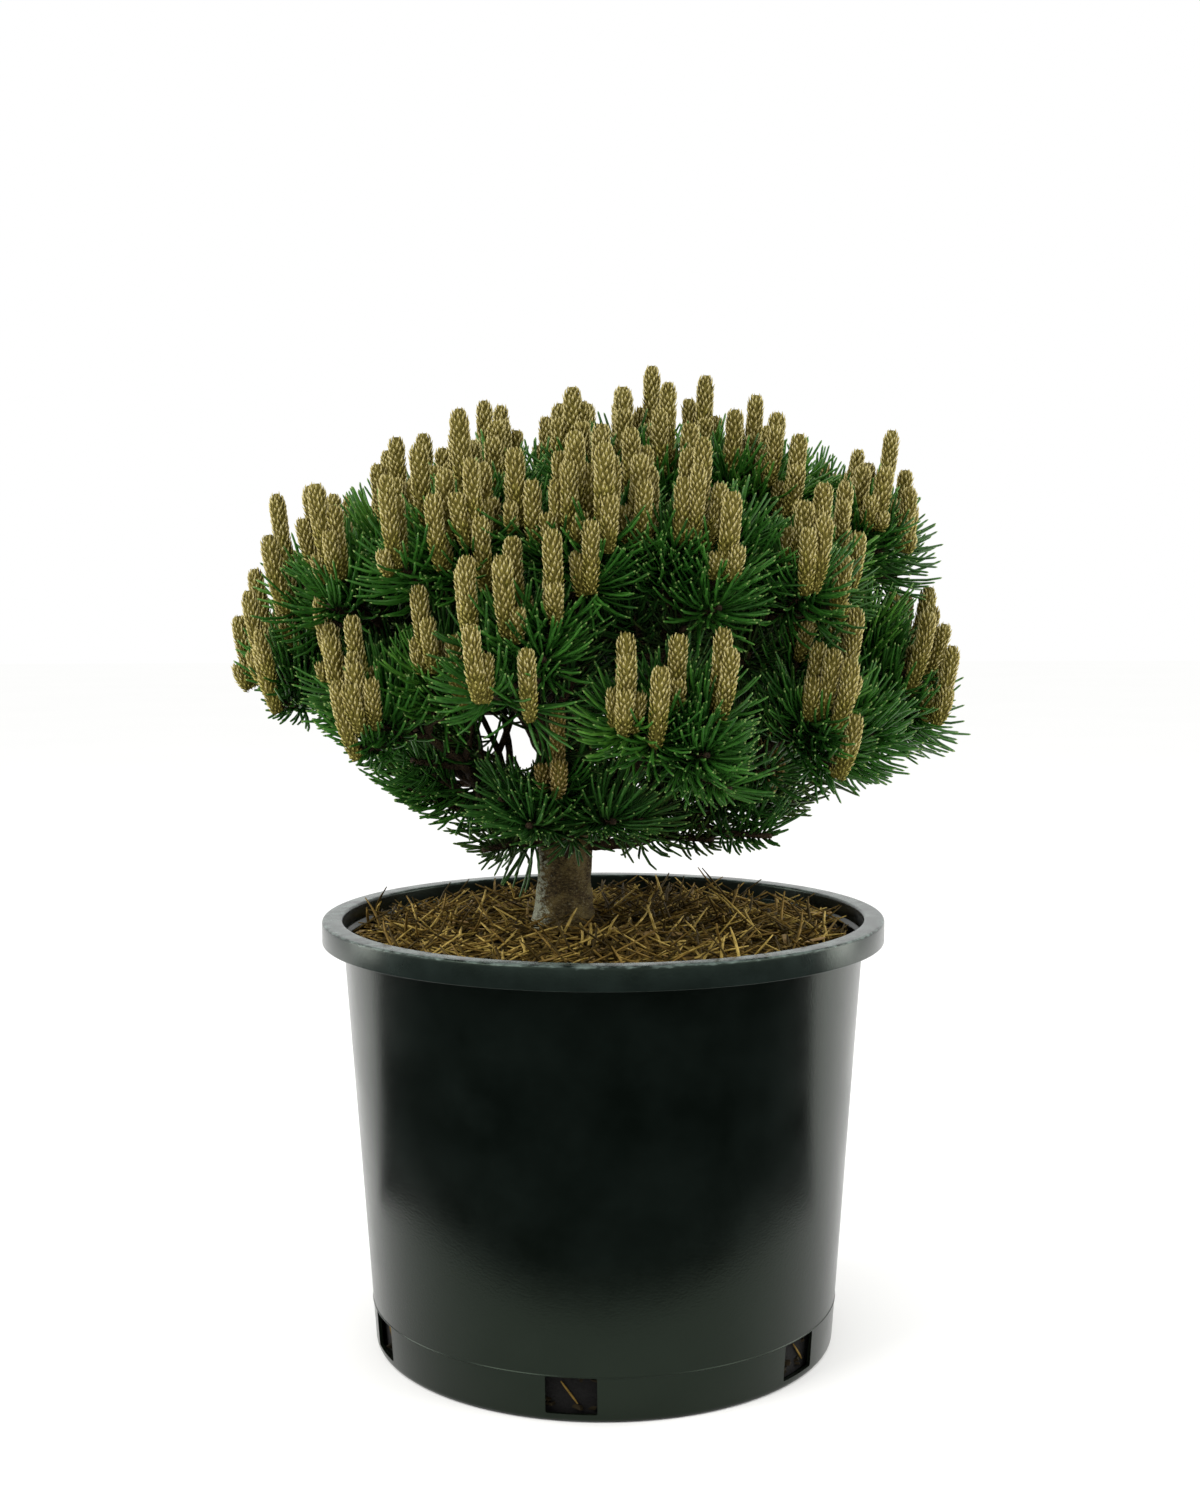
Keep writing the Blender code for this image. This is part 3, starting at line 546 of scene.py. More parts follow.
def tubes(paths, radii, sides, flat=1.0):
    """Thin closed tubes from paths (count, rings, 3) and radii (count, rings).

    Gives the points (count, rings * sides, 3), the corners of one tube and each face's stretch of it.
    """
    count, rings, _ = paths.shape
    along = unit(np.gradient(paths, axis=1))
    helper = np.where(np.abs(along[:, :1, 2:3]) > 0.9, np.array([[[1.0, 0, 0]]]), np.array([[[0, 0, 1.0]]]))
    across = unit(np.cross(along, np.broadcast_to(helper, along.shape)))
    other = np.cross(along, across)
    turn = np.arange(sides) / sides * math.tau
    ring = across[:, :, None, :] * np.cos(turn)[:, None]
    ring = ring + other[:, :, None, :] * (np.sin(turn)[:, None] * flat)
    points = paths[:, :, None, :] + ring * radii[:, :, None, None]
    index = np.arange(rings * sides).reshape(rings, sides)
    low = index[:-1]
    high = index[1:]
    low_next = np.roll(low, -1, axis=1)
    high_next = np.roll(high, -1, axis=1)
    walls = np.concatenate(
        [
            np.stack([low, low_next, high_next], axis=-1).reshape(-1, 3),
            np.stack([low, high_next, high], axis=-1).reshape(-1, 3),
        ]
    )
    level = np.concatenate([np.repeat(np.arange(rings - 1), sides)] * 2)
    fan = np.arange(1, sides - 1)
    foot = np.stack([np.zeros_like(fan), fan + 1, fan], axis=-1)
    top = np.stack([np.zeros_like(fan), fan, fan + 1], axis=-1) + (rings - 1) * sides
    corners = np.concatenate([walls, foot, top])
    level = np.concatenate([level, np.zeros(len(fan), int), np.full(len(fan), rings - 2)])
    return points.reshape(count, -1, 3), corners, level


# ---- The crown's rule, as in the solids ----


def trunk_axis(height):
    """The trunk's middle at a height, and its radius there."""
    for low, high in zip(TRUNK_RINGS, TRUNK_RINGS[1:]):
        if height <= high[0] or high is TRUNK_RINGS[-1]:
            share = (height - low[0]) / (high[0] - low[0])
            side = low[1] + share * (high[1] - low[1])
            radius = low[2] + share * (high[2] - low[2])
            return Vector((side, 0.0, height)), radius


def outward(angle):
    """Unit vector away from the crown's axis, at an angle from the front."""
    turn = math.radians(angle)
    return Vector((math.sin(turn), -math.cos(turn), 0.0))


def growth_direction(mass):
    lift = math.radians(mass.lift)
    return outward(mass.angle) * math.cos(lift) + Vector((0, 0, math.sin(lift)))


def leader_tip(mass):
    return Vector((CROWN_X, 0, mass.height)) + outward(mass.angle) * mass.reach


def stem_foot(mass):
    return leader_tip(mass) - growth_direction(mass) * STEM_LENGTH


def smooth_path(start, leave, end, arrive, steps):
    """Points of a curve that leaves start along one direction and arrives at end along another."""
    reach = (end - start).length
    first = start + leave * reach * LIMB_SWEEP
    last = end - arrive * reach * LIMB_SWEEP
    points = []
    for index in range(steps + 1):
        share = index / steps
        rest = 1 - share
        points.append(
            start * rest**3 + first * 3 * rest**2 * share + last * 3 * rest * share**2 + end * share**3
        )
    return points


def spot_on(points, share):
    """The place and the direction at a share of a path's length."""
    lengths = [(high - low).length for low, high in zip(points, points[1:])]
    left = share * sum(lengths)
    for low, high, length in zip(points, points[1:], lengths):
        if left <= length or high is points[-1]:
            return low.lerp(high, left / length), (high - low).normalized()
        left -= length


def even_points(points, steps):
    """Points at even steps along a path."""
    return [spot_on(points, step / steps)[0] for step in range(steps + 1)]


def grow_limbs():
    """The path of each mass's limb, in the order of the table's roots."""
    limbs = {}
    waiting = list(MASSES)
    while waiting:
        mass = waiting.pop(0)
        end = stem_foot(mass)
        arrive = growth_direction(mass)
        if mass.root == "trunk":
            start, _ = trunk_axis(mass.root_at)
            toward = (end - start).normalized()
            leave = (toward + outward(mass.angle) * LEAVE_OUTWARD).normalized()
            radii = BOUGH_RADII if mass.name.startswith("mid") else SIDE_RADII
        elif mass.root in limbs:
            start, along = spot_on(limbs[mass.root].points, mass.root_at)
            leave = (along * LEAVE_ALONG + (end - start).normalized()).normalized()
            radii = SIDE_RADII
        else:
            waiting.append(mass)
            continue
        points = smooth_path(start, leave, end - arrive * LIMB_SEAT, arrive, LIMB_STEPS - 1) + [end]
        steps = len(points) - 1
        sizes = [radii[0] + (radii[1] - radii[0]) * index / steps for index in range(steps + 1)]
        limbs[mass.name] = Limb(points, sizes)
    return limbs


def spare_candle_draws(mass, rng):
    """Takes the two random draws that a shoot's candles take in the solids."""
    rng.uniform(0, math.tau)
    rng.uniform(*CANDLE_VARIES)


def grow_mass(owner, space):
    """The stem and the main shoots of one mass, spread by the golden angle round its leader."""
    mass = MASSES[owner]
    rng = random.Random(SEED + owner)
    along = growth_direction(mass)
    foot = stem_foot(mass)
    tip = leader_tip(mass)
    side = along.cross(UP).normalized()
    rise = side.cross(along)
    stem = [foot + along * GAP, foot.lerp(tip, BEND_SHARE), tip]
    space.add(stem, STEM_RADII, owner)
    spare_candle_draws(mass, rng)
    shoots = [Shoot(stem, 0 < mass.candles)]
    for attempt in range(1, mass.shoots * TRIES_PER_SHOOT):
        rank = len(shoots)
        if rank == mass.shoots:
            break
        distance = mass.spread * math.sqrt(rank / (mass.shoots - 1)) * rng.uniform(*SHOOT_SPREAD)
        turn = math.radians(mass.turn) + attempt * GOLDEN
        offset = (side * math.cos(turn) + rise * math.sin(turn)) * distance
        end = tip + offset - along * distance * distance / (2 * CROWN_CURVE)
        start = foot.lerp(tip, rng.uniform(*FORK_SHARES))
        leave = (along + offset.normalized() * SHOOT_FLARE).normalized()
        arrive = (along + Vector((0, 0, TWIG_LEAN)) + offset * SHOOT_SPLAY).normalized()
        curve = smooth_path(start, leave, end, arrive, BEND_STEPS)
        path = [start, curve[round(BEND_SHARE * BEND_STEPS)], end]
        if twig_fits(space, owner, path):
            space.add(path, TWIG_RADII, owner)
            spare_candle_draws(mass, rng)
            shoots.append(Shoot(path, rank < mass.candles))
    return Growth(mass, shoots)


def twig_fits(space, owner, path):
    """True where a twig keeps to its mass's cell and clear of limbs and of other masses' twigs."""
    line = even_points(path, CHECK_STEPS)
    girths = [TWIG_RADII[1]] * len(line)
    return space.in_cell(line, owner) and space.room(line, girths, skip=owner) > LIMB_MARGIN


class Space:
    """What each new piece has to stay clear of, as capsules, and the cell of each mass."""

    def __init__(self, limbs):
        self.starts = np.empty((0, 3))
        self.lines = np.empty((0, 3))
        self.sizes = np.empty(0)
        self.owners = np.empty(0, dtype=int)
        self.sites = rows([stem_foot(mass).lerp(leader_tip(mass), CELL_SITE) for mass in MASSES])
        for limb in limbs.values():
            self.add(limb.points, [radius + LIMB_KEEP_OFF for radius in limb.radii], LIMB_OWNER)
        axis = [Vector((side, 0, height)) for height, side, radius in TRUNK_RINGS]
        self.add(axis, [radius for height, side, radius in TRUNK_RINGS], LIMB_OWNER)

    def add(self, points, radii, owner):
        """Adds a capsule round each stretch of a path."""
        places = rows(points)
        self.starts = np.vstack((self.starts, places[:-1]))
        self.lines = np.vstack((self.lines, places[1:] - places[:-1]))
        self.sizes = np.append(self.sizes, np.maximum(radii[:-1], radii[1:]))
        self.owners = np.append(self.owners, np.full(len(points) - 1, owner))

    def room(self, points, radii, skip=None):
        """The least clear distance from a row of round sections to what is there already."""
        places = rows(points)
        near = np.linalg.norm(self.starts + self.lines / 2 - places.mean(axis=0), axis=1) < NEAR
        if skip is not None:
            near &= self.owners != skip
        if not near.any():
            return NEAR
        lines = self.lines[near]
        offsets = places[:, None, :] - self.starts[near][None, :, :]
        share = np.clip((offsets * lines).sum(axis=2) / (lines**2).sum(axis=1), 0, 1)
        nearest = offsets - lines * share[:, :, None]
        distance = np.sqrt((nearest**2).sum(axis=2)) - self.sizes[near]
        return float((distance - np.array(radii)[:, None]).min())

    def in_cell(self, points, owner):
        """True where every point lies on its own mass's side of each plane between two masses."""
        places = rows(points)
        others = np.delete(self.sites, owner, axis=0)
        apart = others - self.sites[owner]
        middle = (others + self.sites[owner]) / 2
        side = ((places[:, None, :] - middle) * apart).sum(axis=2) / np.linalg.norm(apart, axis=1)
        return bool(side.max() < -CELL_MARGIN)


# ---- Finer twigs, needles and candles ----


def sideways_of(along):
    """Two directions square to a line and to each other."""
    side = along.cross(UP)
    side = side.normalized() if side.length > 0.05 else Vector((1, 0, 0))
    return side, side.cross(along)


def side_shoots(growth, rng):
    """Finer shoots that fork from each main shoot below its needles and end beside its tip."""
    made = []
    rear = abs(growth.mass.angle) > REAR_FROM
    for number, shoot in enumerate(growth.shoots):
        start, bend, tip = shoot.points
        along = (tip - bend).normalized()
        side, rise = sideways_of(along)
        for rank in range(REAR_SIDE_SHOOTS if rear else 1 + number % 2):
            turn = (number * 2 + rank) * GOLDEN + rng.uniform(-0.4, 0.4)
            away = side * math.cos(turn) + rise * math.sin(turn)
            reach = rng.uniform(*SIDE_REACH) * (REAR_REACH if rear else 1)
            end = tip + away * reach - along * rng.uniform(0.004, 0.020)
            root = start.lerp(bend, rng.uniform(0.5, 1.0))
            arrive = (along + UP * 0.25 + away * 0.3).normalized()
            path = smooth_path(root, (along + away * 0.8).normalized(), end, arrive, 8)
            if out_of_place(end):
                continue
            bears = shoot.bearing and rng.random() < 0.7
            made.append(Shoot([path[0], path[3], path[-1]], bears))
    return made


def inner_shoots(limb, count, rng):
    """Short old shoots along a limb, inside the crown, which bear only needles."""
    made = []
    for step in range(count):
        root, along = spot_on(limb.points, rng.uniform(0.42, 0.97))
        side, rise = sideways_of(along)
        turn = step * GOLDEN + rng.uniform(-0.5, 0.5)
        away = side * math.cos(turn) + rise * math.sin(turn)
        head = (along * 0.7 + away + UP * 0.35).normalized()
        bend = root + head * 0.012
        end = bend + (head + along * 0.4).normalized() * 0.034
        if not out_of_place(end):
            made.append(Shoot([root, bend, end], False))
    return made


def fill_shoots(mass, limb):
    """Long fine shoots that round off the back of the crown, from the mass beside each place."""
    made = []
    for angle, reach, height in REAR_FILLS.get(mass.name, ()):
        end = Vector((CROWN_X, 0, height)) + outward(angle) * reach
        root, along = spot_on(limb.points, 0.9)
        path = smooth_path(root, along, end, (outward(angle) * 0.6 + UP).normalized(), 8)
        made.append(Shoot([path[0], path[4], path[-1]], True))
    return made


def hanging_shoots():
    """Short old shoots at the top of the trunk, whose needles hang beside it."""
    made = []
    for place in HANGING:
        tip = Vector(place)
        root, radius = trunk_axis(tip.z + 0.006)
        away = (tip - root).normalized()
        made.append(Shoot([root + away * radius * 0.8, root.lerp(tip, 0.7), tip], False))
    return made


def underside(places):
    """The lowest that a needle may hang: the crown's underside rises away from its axis."""
    away = places[..., :2] - np.array([CROWN_X, 0])
    left = np.maximum(0, -places[..., 0] - LEFT_RISE_FROM)
    return LOWEST_NEEDLE + UNDERSIDE_RISE * np.linalg.norm(away, axis=-1) + LEFT_RISE * left


def out_of_place(end):
    """True for a fine shoot that would end below the crown's underside or across an opening."""
    place = np.array(tuple(end))
    return bool(place[2] < underside(place) or open_sky(place, 1.3))


def spray_of(shoot, count, length, rng, lift):
    """The needles of one shoot: bent lines (count, rings, 3) that lean forward towards its tip."""
    start, bend, tip = rows(shoot.points)
    along = unit(tip - bend)
    side, rise = rows(sideways_of(Vector(along)))
    share = (np.arange(count) + rng.uniform(0.2, 0.8, count)) / count
    turn = np.arange(count) * GOLDEN + rng.uniform(-0.25, 0.25, count)
    away = side * np.cos(turn)[:, None] + rise * np.sin(turn)[:, None]
    root = bend + (tip - bend) * (0.05 + 0.93 * share)[:, None] + away * 0.0022
    lean = np.radians(82 - 48 * share**1.4 + rng.normal(0, 4.0, count))
    head = along * np.cos(lean)[:, None] + away * np.sin(lean)[:, None]
    full = length * rng.uniform(0.86, 1.08, count) * (1 - 0.22 * share**3)
    hook = along * 0.60 + np.array([0, 0, lift])
    rings = np.array(NEEDLE_RINGS)[None, :, None]
    bent = unit(head + hook * rng.uniform(0.75, 1.25, count)[:, None])
    curl = rng.normal(0, 0.035, (count, 3))
    line = head[:, None] * (rings - 0.5 * rings**2) + bent[:, None] * (0.5 * rings**2)
    line = line + curl[:, None] * rings**2
    for _ in range(3 if lift > 0 else 0):
        ends = root + line[:, -1] * full[:, None]
        full = np.where(ends[:, 2] < underside(ends), full * 0.72, full)
    keep = full > length * 0.3
    paths = root[:, None] + line * full[:, None, None]
    return paths[keep]


def open_sky(places, fray):
    """Where the crown is open from front to back, for places (..., 3) lined up with the eye."""
    eye = np.array(EYE)
    share = -eye[1] / (places[..., 1] - eye[1])
    side = eye[0] + (places[..., 0] - eye[0]) * share
    height = eye[2] + (places[..., 2] - eye[2]) * share
    inside = np.zeros(side.shape, dtype=bool)
    for opening in OPENINGS:
        inside |= np.hypot(side - opening[0], height - opening[1]) < opening[2] * fray
    return inside


def inside_box(paths, margin):
    """Which needles stay inside the solids' box, or less than a margin outside it."""
    low = np.array(CAD_BOX[0]) - margin
    high = np.array(CAD_BOX[1]) + margin
    return ((paths > low) & (paths < high)).all(axis=(1, 2))


def candle_line(foot, head, length, steps):
    """The bent middle line of a candle, which turns upright as it rises."""
    share = np.linspace(0, 1, steps)[:, None]
    lean = np.array(tuple(head))
    up = np.array((0, 0, 1.0))
    return np.array(tuple(foot)) + length * (lean * (share - 0.4 * share**2) + up * 0.4 * share**2)


def candle_width(share):
    """A candle's width along it, as a share of its widest: a narrow foot and a round head."""
    foot = 0.62 + 0.38 * np.clip(share / 0.38, 0, 1) ** 0.8
    head = np.sqrt(np.clip(1 - ((share - 0.84) / 0.165) ** 2, 0.02, 1))
    return foot * np.where(share > 0.84, head, 1.0)


def candles_on(shoot, mass, rng):
    """The candles at a shoot's tip: foot, direction, length and radius of each."""
    start, bend, tip = shoot.points
    along = (tip - bend).normalized()
    away = outward(mass.angle)
    upright = (UP + away * CANDLE_LEAN * CANDLE_OUTWARD * (1 - mass.lift / 90)).normalized()
    foot = tip - upright * CANDLE_SINK
    tall = CANDLE_LENGTH * rng.triangular(0.66, 1.20, 0.84) * (0.95 if mass.name.startswith("top") else 1)
    head = (upright + along * rng.uniform(0.0, 0.22)).normalized()
    made = [(foot, head, tall, CANDLE_GIRTH * rng.uniform(0.92, 1.1))]
    side, rise = sideways_of(upright)
    first = rng.uniform(0, math.tau)
    for number in range(rng.choice((1, 2, 2, 3, 3, 4))):
        turn = first + number * 2.3 + rng.uniform(-0.3, 0.3)
        aside = side * math.cos(turn) + rise * math.sin(turn)
        lean = math.tan(math.radians(rng.uniform(7, 19)))
        length = tall * rng.choice((0.84, 0.66, 0.54, 0.42, 0.30)) * rng.uniform(0.9, 1.08)
        radius = COMPANION_GIRTH * rng.uniform(0.9, 1.08) * (0.82 + 0.18 * length / tall)
        place = foot + aside * 0.0058 - upright * 0.002
        made.append((place, (head + aside * lean).normalized(), length, radius))
    return made


def in_view(candle):
    """True for a candle that stands across no opening."""
    foot, head, length, radius = candle
    return not open_sky(candle_line(foot, head, length, 6), 1.0).any()


def bracts_of(candle, rng):
    """The scales of a candle, in a golden-angle spiral: five points each, and how far up they sit."""
    foot, head, length, radius = candle
    count = int(length / CANDLE_STEP)
    share = (np.arange(count) + 0.5) / count * 0.985
    line = candle_line(foot, head, length, 40)
    steps = np.linspace(0, 1, 40)
    place = np.stack([np.interp(share, steps, line[:, axis]) for axis in range(3)], axis=1)
    along = np.stack([np.interp(share, steps, np.gradient(line[:, axis])) for axis in range(3)], axis=1)
    along = unit(along)
    side = unit(np.cross(along, np.array((0.3, 1.0, 0.1))))
    other = np.cross(along, side)
    turn = np.arange(count) * GOLDEN + rng.uniform(0, math.tau) + rng.normal(0, 0.09, count)
    out = side * np.cos(turn)[:, None] + other * np.sin(turn)[:, None]
    width = candle_width(share) * radius
    slope = np.gradient(candle_width(share)) / max(1e-9, 1 / count) * radius / length
    rise = unit(along + out * slope[:, None])
    skin = place + out * (width * CORE_SHARE)[:, None]
    face = unit(np.cross(rise, np.cross(out, rise)))
    across = np.cross(face, rise)
    long = SCALE_LENGTH * rng.uniform(0.7, 1.2, count)[:, None] * np.clip(width / radius, 0.55, 1)[:, None]
    wide = SCALE_WIDTH * np.clip(width / radius, 0.6, 1)[:, None]
    tip_lift = 0.0013 * rng.uniform(0.5, 1.5, count)[:, None]
    points = np.stack(
        [
            skin - rise * long - face * 0.0004,
            skin + across * wide + rise * long * 0.1 - face * 0.0002,
            skin - across * wide + rise * long * 0.1 - face * 0.0002,
            skin + rise * long + face * tip_lift,
            skin + rise * long * 0.35 + face * 0.0013,
        ],
        axis=1,
    )
    return points, share


BRACT_FACES = np.array(((0, 1, 4), (0, 4, 2), (1, 3, 4), (2, 4, 3), (0, 2, 1), (1, 2, 3)))
BRACT_MARKS = np.array((0, 0, 1, 1, 0, 0))


def clear_of_candles(paths, candles):
    """Which needles pass beside every candle and through none."""
    clear = np.ones(len(paths), dtype=bool)
    for foot, head, length, radius in candles:
        line = candle_line(foot, head, length, 2)
        along = line[1] - line[0]
        near = np.linalg.norm(paths - line.mean(axis=0), axis=2).min(axis=1) < length
        offsets = paths[near] - line[0]
        share = np.clip(offsets @ along / (along @ along), 0.12, 1)
        distance = np.linalg.norm(offsets - share[..., None] * along, axis=2)
        clear[near] &= (distance > radius + CANDLE_CLEAR).all(axis=1)
    return clear


def make_needles(groups, finishes, tip_finish, candles):
    """One joined piece for each shade of needle."""
    rng = np.random.default_rng(SEED * 7)
    made = []
    for name, paths in groups.items():
        paths = np.concatenate(paths)
        fray = rng.uniform(0.45, 1.25, (len(paths), 1))
        paths = paths[inside_box(paths, 0.002) & ~open_sky(paths, fray).any(axis=1)]
        paths = paths[clear_of_candles(paths, candles)]
        radii = np.broadcast_to(np.array(NEEDLE_TAPER) * NEEDLE_GIRTH, paths.shape[:2])
        shapes, corners, level = tubes(paths, radii, 3)
        marks = (level == len(NEEDLE_RINGS) - 2).astype(int)
        made += alike_pieces("needles_" + name, shapes, corners, marks, [finishes[name], tip_finish])
    return made


def make_candles(candles, bract_sets, core_finish):
    """Joined pieces of scales, by shade, and one of the cores that they sit on."""
    rng = np.random.default_rng(SEED * 3)
    sets = {name: [] for name in bract_sets}
    cores = []
    widths = []
    for candle, shade in candles:
        points, share = bracts_of(candle, rng)
        green = share + rng.normal(0, 0.12, len(share)) < 0.40
        low = "olive" if shade == "tan" else shade
        sets[low].append(points[green])
        sets[shade].append(points[~green])
        foot, head, length, radius = candle
        cores.append(candle_line(foot, head, length, THIN_RINGS))
        widths.append(candle_width(np.linspace(0, 0.99, THIN_RINGS)) * radius * CORE_SHARE)
    made = []
    for name, scales in sets.items():
        label = "candle_scales_" + name
        made += alike_pieces(label, np.concatenate(scales), BRACT_FACES, BRACT_MARKS, bract_sets[name])
    shapes, corners, level = tubes(np.array(cores), np.array(widths), 8)
    made += alike_pieces("candle_cores", shapes, corners, level * 0, [core_finish])
    return made


def make_twigs(shoots, finish):
    """All the twigs as one joined mesh of rough tapering tubes."""
    rng = np.random.default_rng(SEED * 5)
    paths = np.array([rows(even_points(shoot.points, THIN_RINGS - 1)) for shoot in shoots])
    radii = np.linspace(0.0030, 0.0021, THIN_RINGS)[None] * rng.uniform(0.86, 1.16, paths.shape[:2])
    shapes, corners, level = tubes(paths, radii, 6)
    return alike_pieces("twigs", shapes, corners, level * 0, [finish])


# ---- Bark, pot and mix ----


def spun(outline, steps):
    """Spins a list of (radius, height) points round Z into a closed shape."""
    shape = bmesh.new()
    points = [shape.verts.new((radius, 0.0, height)) for radius, height in outline]
    for low, high in zip(points, points[1:]):
        shape.edges.new((low, high))
    bmesh.ops.spin(
        shape,
        geom=shape.verts[:] + shape.edges[:],
        cent=(0, 0, 0),
        axis=(0, 0, 1),
        angle=math.tau,
        steps=steps,
        use_merge=True,
    )
    bmesh.ops.remove_doubles(shape, verts=shape.verts, dist=0.000001)
    bmesh.ops.recalc_face_normals(shape, faces=shape.faces)
    return shape


def bark_tube(points, radii, sides, relief_at):
    """A tube spun straight, then bent onto a path, with bark relief."""
    steps = len(points) - 1
    shape = spun([(0, 0)] + [(1, step) for step in range(steps + 1)] + [(0, steps)], sides)
    across = Vector((0.31, 0.95, 0.12))
    frames = []
    for index, point in enumerate(points):
        along = (points[min(index + 1, steps)] - points[max(index - 1, 0)]).normalized()
        across = (across - along * across.dot(along)).normalized()
        frames.append((point, across, along.cross(across), radii[index]))
    for vert in shape.verts:
        point, across, other, radius = frames[round(vert.co.z)]
        out = across * vert.co.x + other * vert.co.y
        if out.length > 0.5:
            vert.co = point + out * (radius + relief_at(point + out * radius, radius))
        else:
            vert.co = point
    return shape


def bough_relief(place, radius):
    """Ridges and leaf scars of a young bough, in metres."""
    scars = max(0.0, noise.noise(place * 250)) * 0.0011
    return scars + noise.noise(place * 90) * 0.0006


def trunk_relief(place):
    """Thin bark plates with cracks between them, in metres."""
    stretched = Vector((place.x, place.y, place.z * 0.6))
    distances = noise.voronoi(stretched * 110)[0]
    crack = min(1.0, (distances[1] - distances[0]) * 2.5)
    return (crack - 0.8) * 0.0005 + noise.noise(place * 40) * 0.0012 + noise.noise(place * 180) * 0.0006


def make_trunk(finish):
    """The trunk, spun and then leaned, with root flare, spur and bark plates."""
    rings = 110
    top = TRUNK_RINGS[-1][0]
    heights = [TRUNK_FOOT + (top - TRUNK_FOOT) * index / rings for index in range(rings + 1)]
    shape = spun([(0, TRUNK_FOOT)] + [(1, height) for height in heights] + [(0, top)], 80)
    levels = [row[0] for row in TRUNK_RINGS]
    for vert in shape.verts:
        height = vert.co.z
        side = float(np.interp(height, levels, [row[1] for row in TRUNK_RINGS]))
        if vert.co.xy.length < 0.5:
            vert.co = Vector((side, 0, height))
            continue
        radius = float(np.interp(height, levels, [row[2] for row in TRUNK_RINGS]))
        angle = math.atan2(vert.co.y, vert.co.x)
        flare = max(0.0, 1 - (height - TRUNK_FOOT) / ROOT_FLARE_HEIGHT)
        spur = max(0.0, math.cos(angle - math.radians(ROOT_SPUR_ANGLE))) ** 6 * ROOT_SPUR
        wave = ROOT_FLARE * math.sin(ROOT_FLARE_WAVES * angle)
        out = Vector((math.cos(angle), math.sin(angle), 0))
        place = Vector((side, 0, height)) + out * (radius + flare * (spur + wave))
        vert.co = place + out * trunk_relief(place)
    return piece_from_shape("bark_trunk", shape, finish, smooth_angle=50)


def make_boughs(limbs, finish):
    """All the limbs, each from inside what it leaves to the foot of its mass."""
    joined = bmesh.new()
    for limb in limbs.values():
        steps = 34
        points = even_points(limb.points, steps)
        ends = limb.radii
        radii = [ends[0] + (ends[-1] - ends[0]) * step / steps for step in range(steps + 1)]
        tube = bark_tube(points, radii, 14, bough_relief)
        mesh = bpy.data.meshes.new("limb")
        tube.to_mesh(mesh)
        tube.free()
        joined.from_mesh(mesh)
        bpy.data.meshes.remove(mesh)
    return piece_from_shape("bark_boughs", joined, finish, smooth_angle=60)


def rounded(outline):
    """Rounds each corner (radius, height, rounding) of an outline with a short arc."""
    made = []
    for index, (radius, height, rounding) in enumerate(outline):
        corner = Vector((radius, height))
        if rounding == 0:
            made.append((radius, height))
            continue
        before = Vector(outline[index - 1][:2]) - corner
        after = Vector(outline[index + 1][:2]) - corner
        first = corner + before.normalized() * rounding
        last = corner + after.normalized() * rounding
        for step in range(6):
            share = step / 5
            place = first * (1 - share) ** 2 + corner * 2 * share * (1 - share) + last * share**2
            made.append((place.x, place.y))
    return made


def wall_radius(height):
    """Outer radius of the pot's wall, which widens evenly to its shoulder."""
    shoulder_height = POT_HEIGHT - POT_RIM_DEPTH
    return POT_FOOT_RADIUS + height / shoulder_height * (POT_SHOULDER_RADIUS - POT_FOOT_RADIUS)


def pot_outline():
    rim_low = POT_HEIGHT - POT_RIM_DEPTH
    flange_low = POT_HEIGHT - POT_WALL
    collar_inner = POT_COLLAR_RADIUS - POT_WALL
    ledge = POT_HEIGHT - LEDGE_DROP
    seam = MOULD_SEAM
    return (
        (0.0, 0.0, 0),
        (POT_FOOT_RADIUS - 0.010, 0.0, 0),
        (wall_radius(0.0), 0.0, 0.0035),
        (wall_radius(seam - 0.0006), seam - 0.0006, 0),
        (wall_radius(seam) + 0.0004, seam - 0.0002, 0),
        (wall_radius(seam) + 0.0004, seam + 0.0002, 0),
        (wall_radius(seam + 0.0006), seam + 0.0006, 0),
        (wall_radius(0.10), 0.10, 0),
        (wall_radius(0.20), 0.20, 0),
        (POT_SHOULDER_RADIUS, rim_low, 0.0008),
        (POT_COLLAR_RADIUS, rim_low + POT_WALL, 0.0008),
        (POT_COLLAR_RADIUS, flange_low, 0.001),
        (POT_RIM_RADIUS - POT_WALL, flange_low, 0.001),
        (POT_RIM_RADIUS - POT_WALL, rim_low, 0.0009),
        (POT_RIM_RADIUS, rim_low, 0.0009),
        (POT_RIM_RADIUS, POT_HEIGHT, 0.0022),
        (collar_inner, POT_HEIGHT, 0.0022),
        (collar_inner, ledge, 0.001),
        (POT_SHOULDER_RADIUS - POT_WALL, ledge - POT_WALL, 0.001),
        (wall_radius(POT_FLOOR) - POT_WALL, POT_FLOOR, 0.001),
        (0.0, POT_FLOOR, 0),
    )


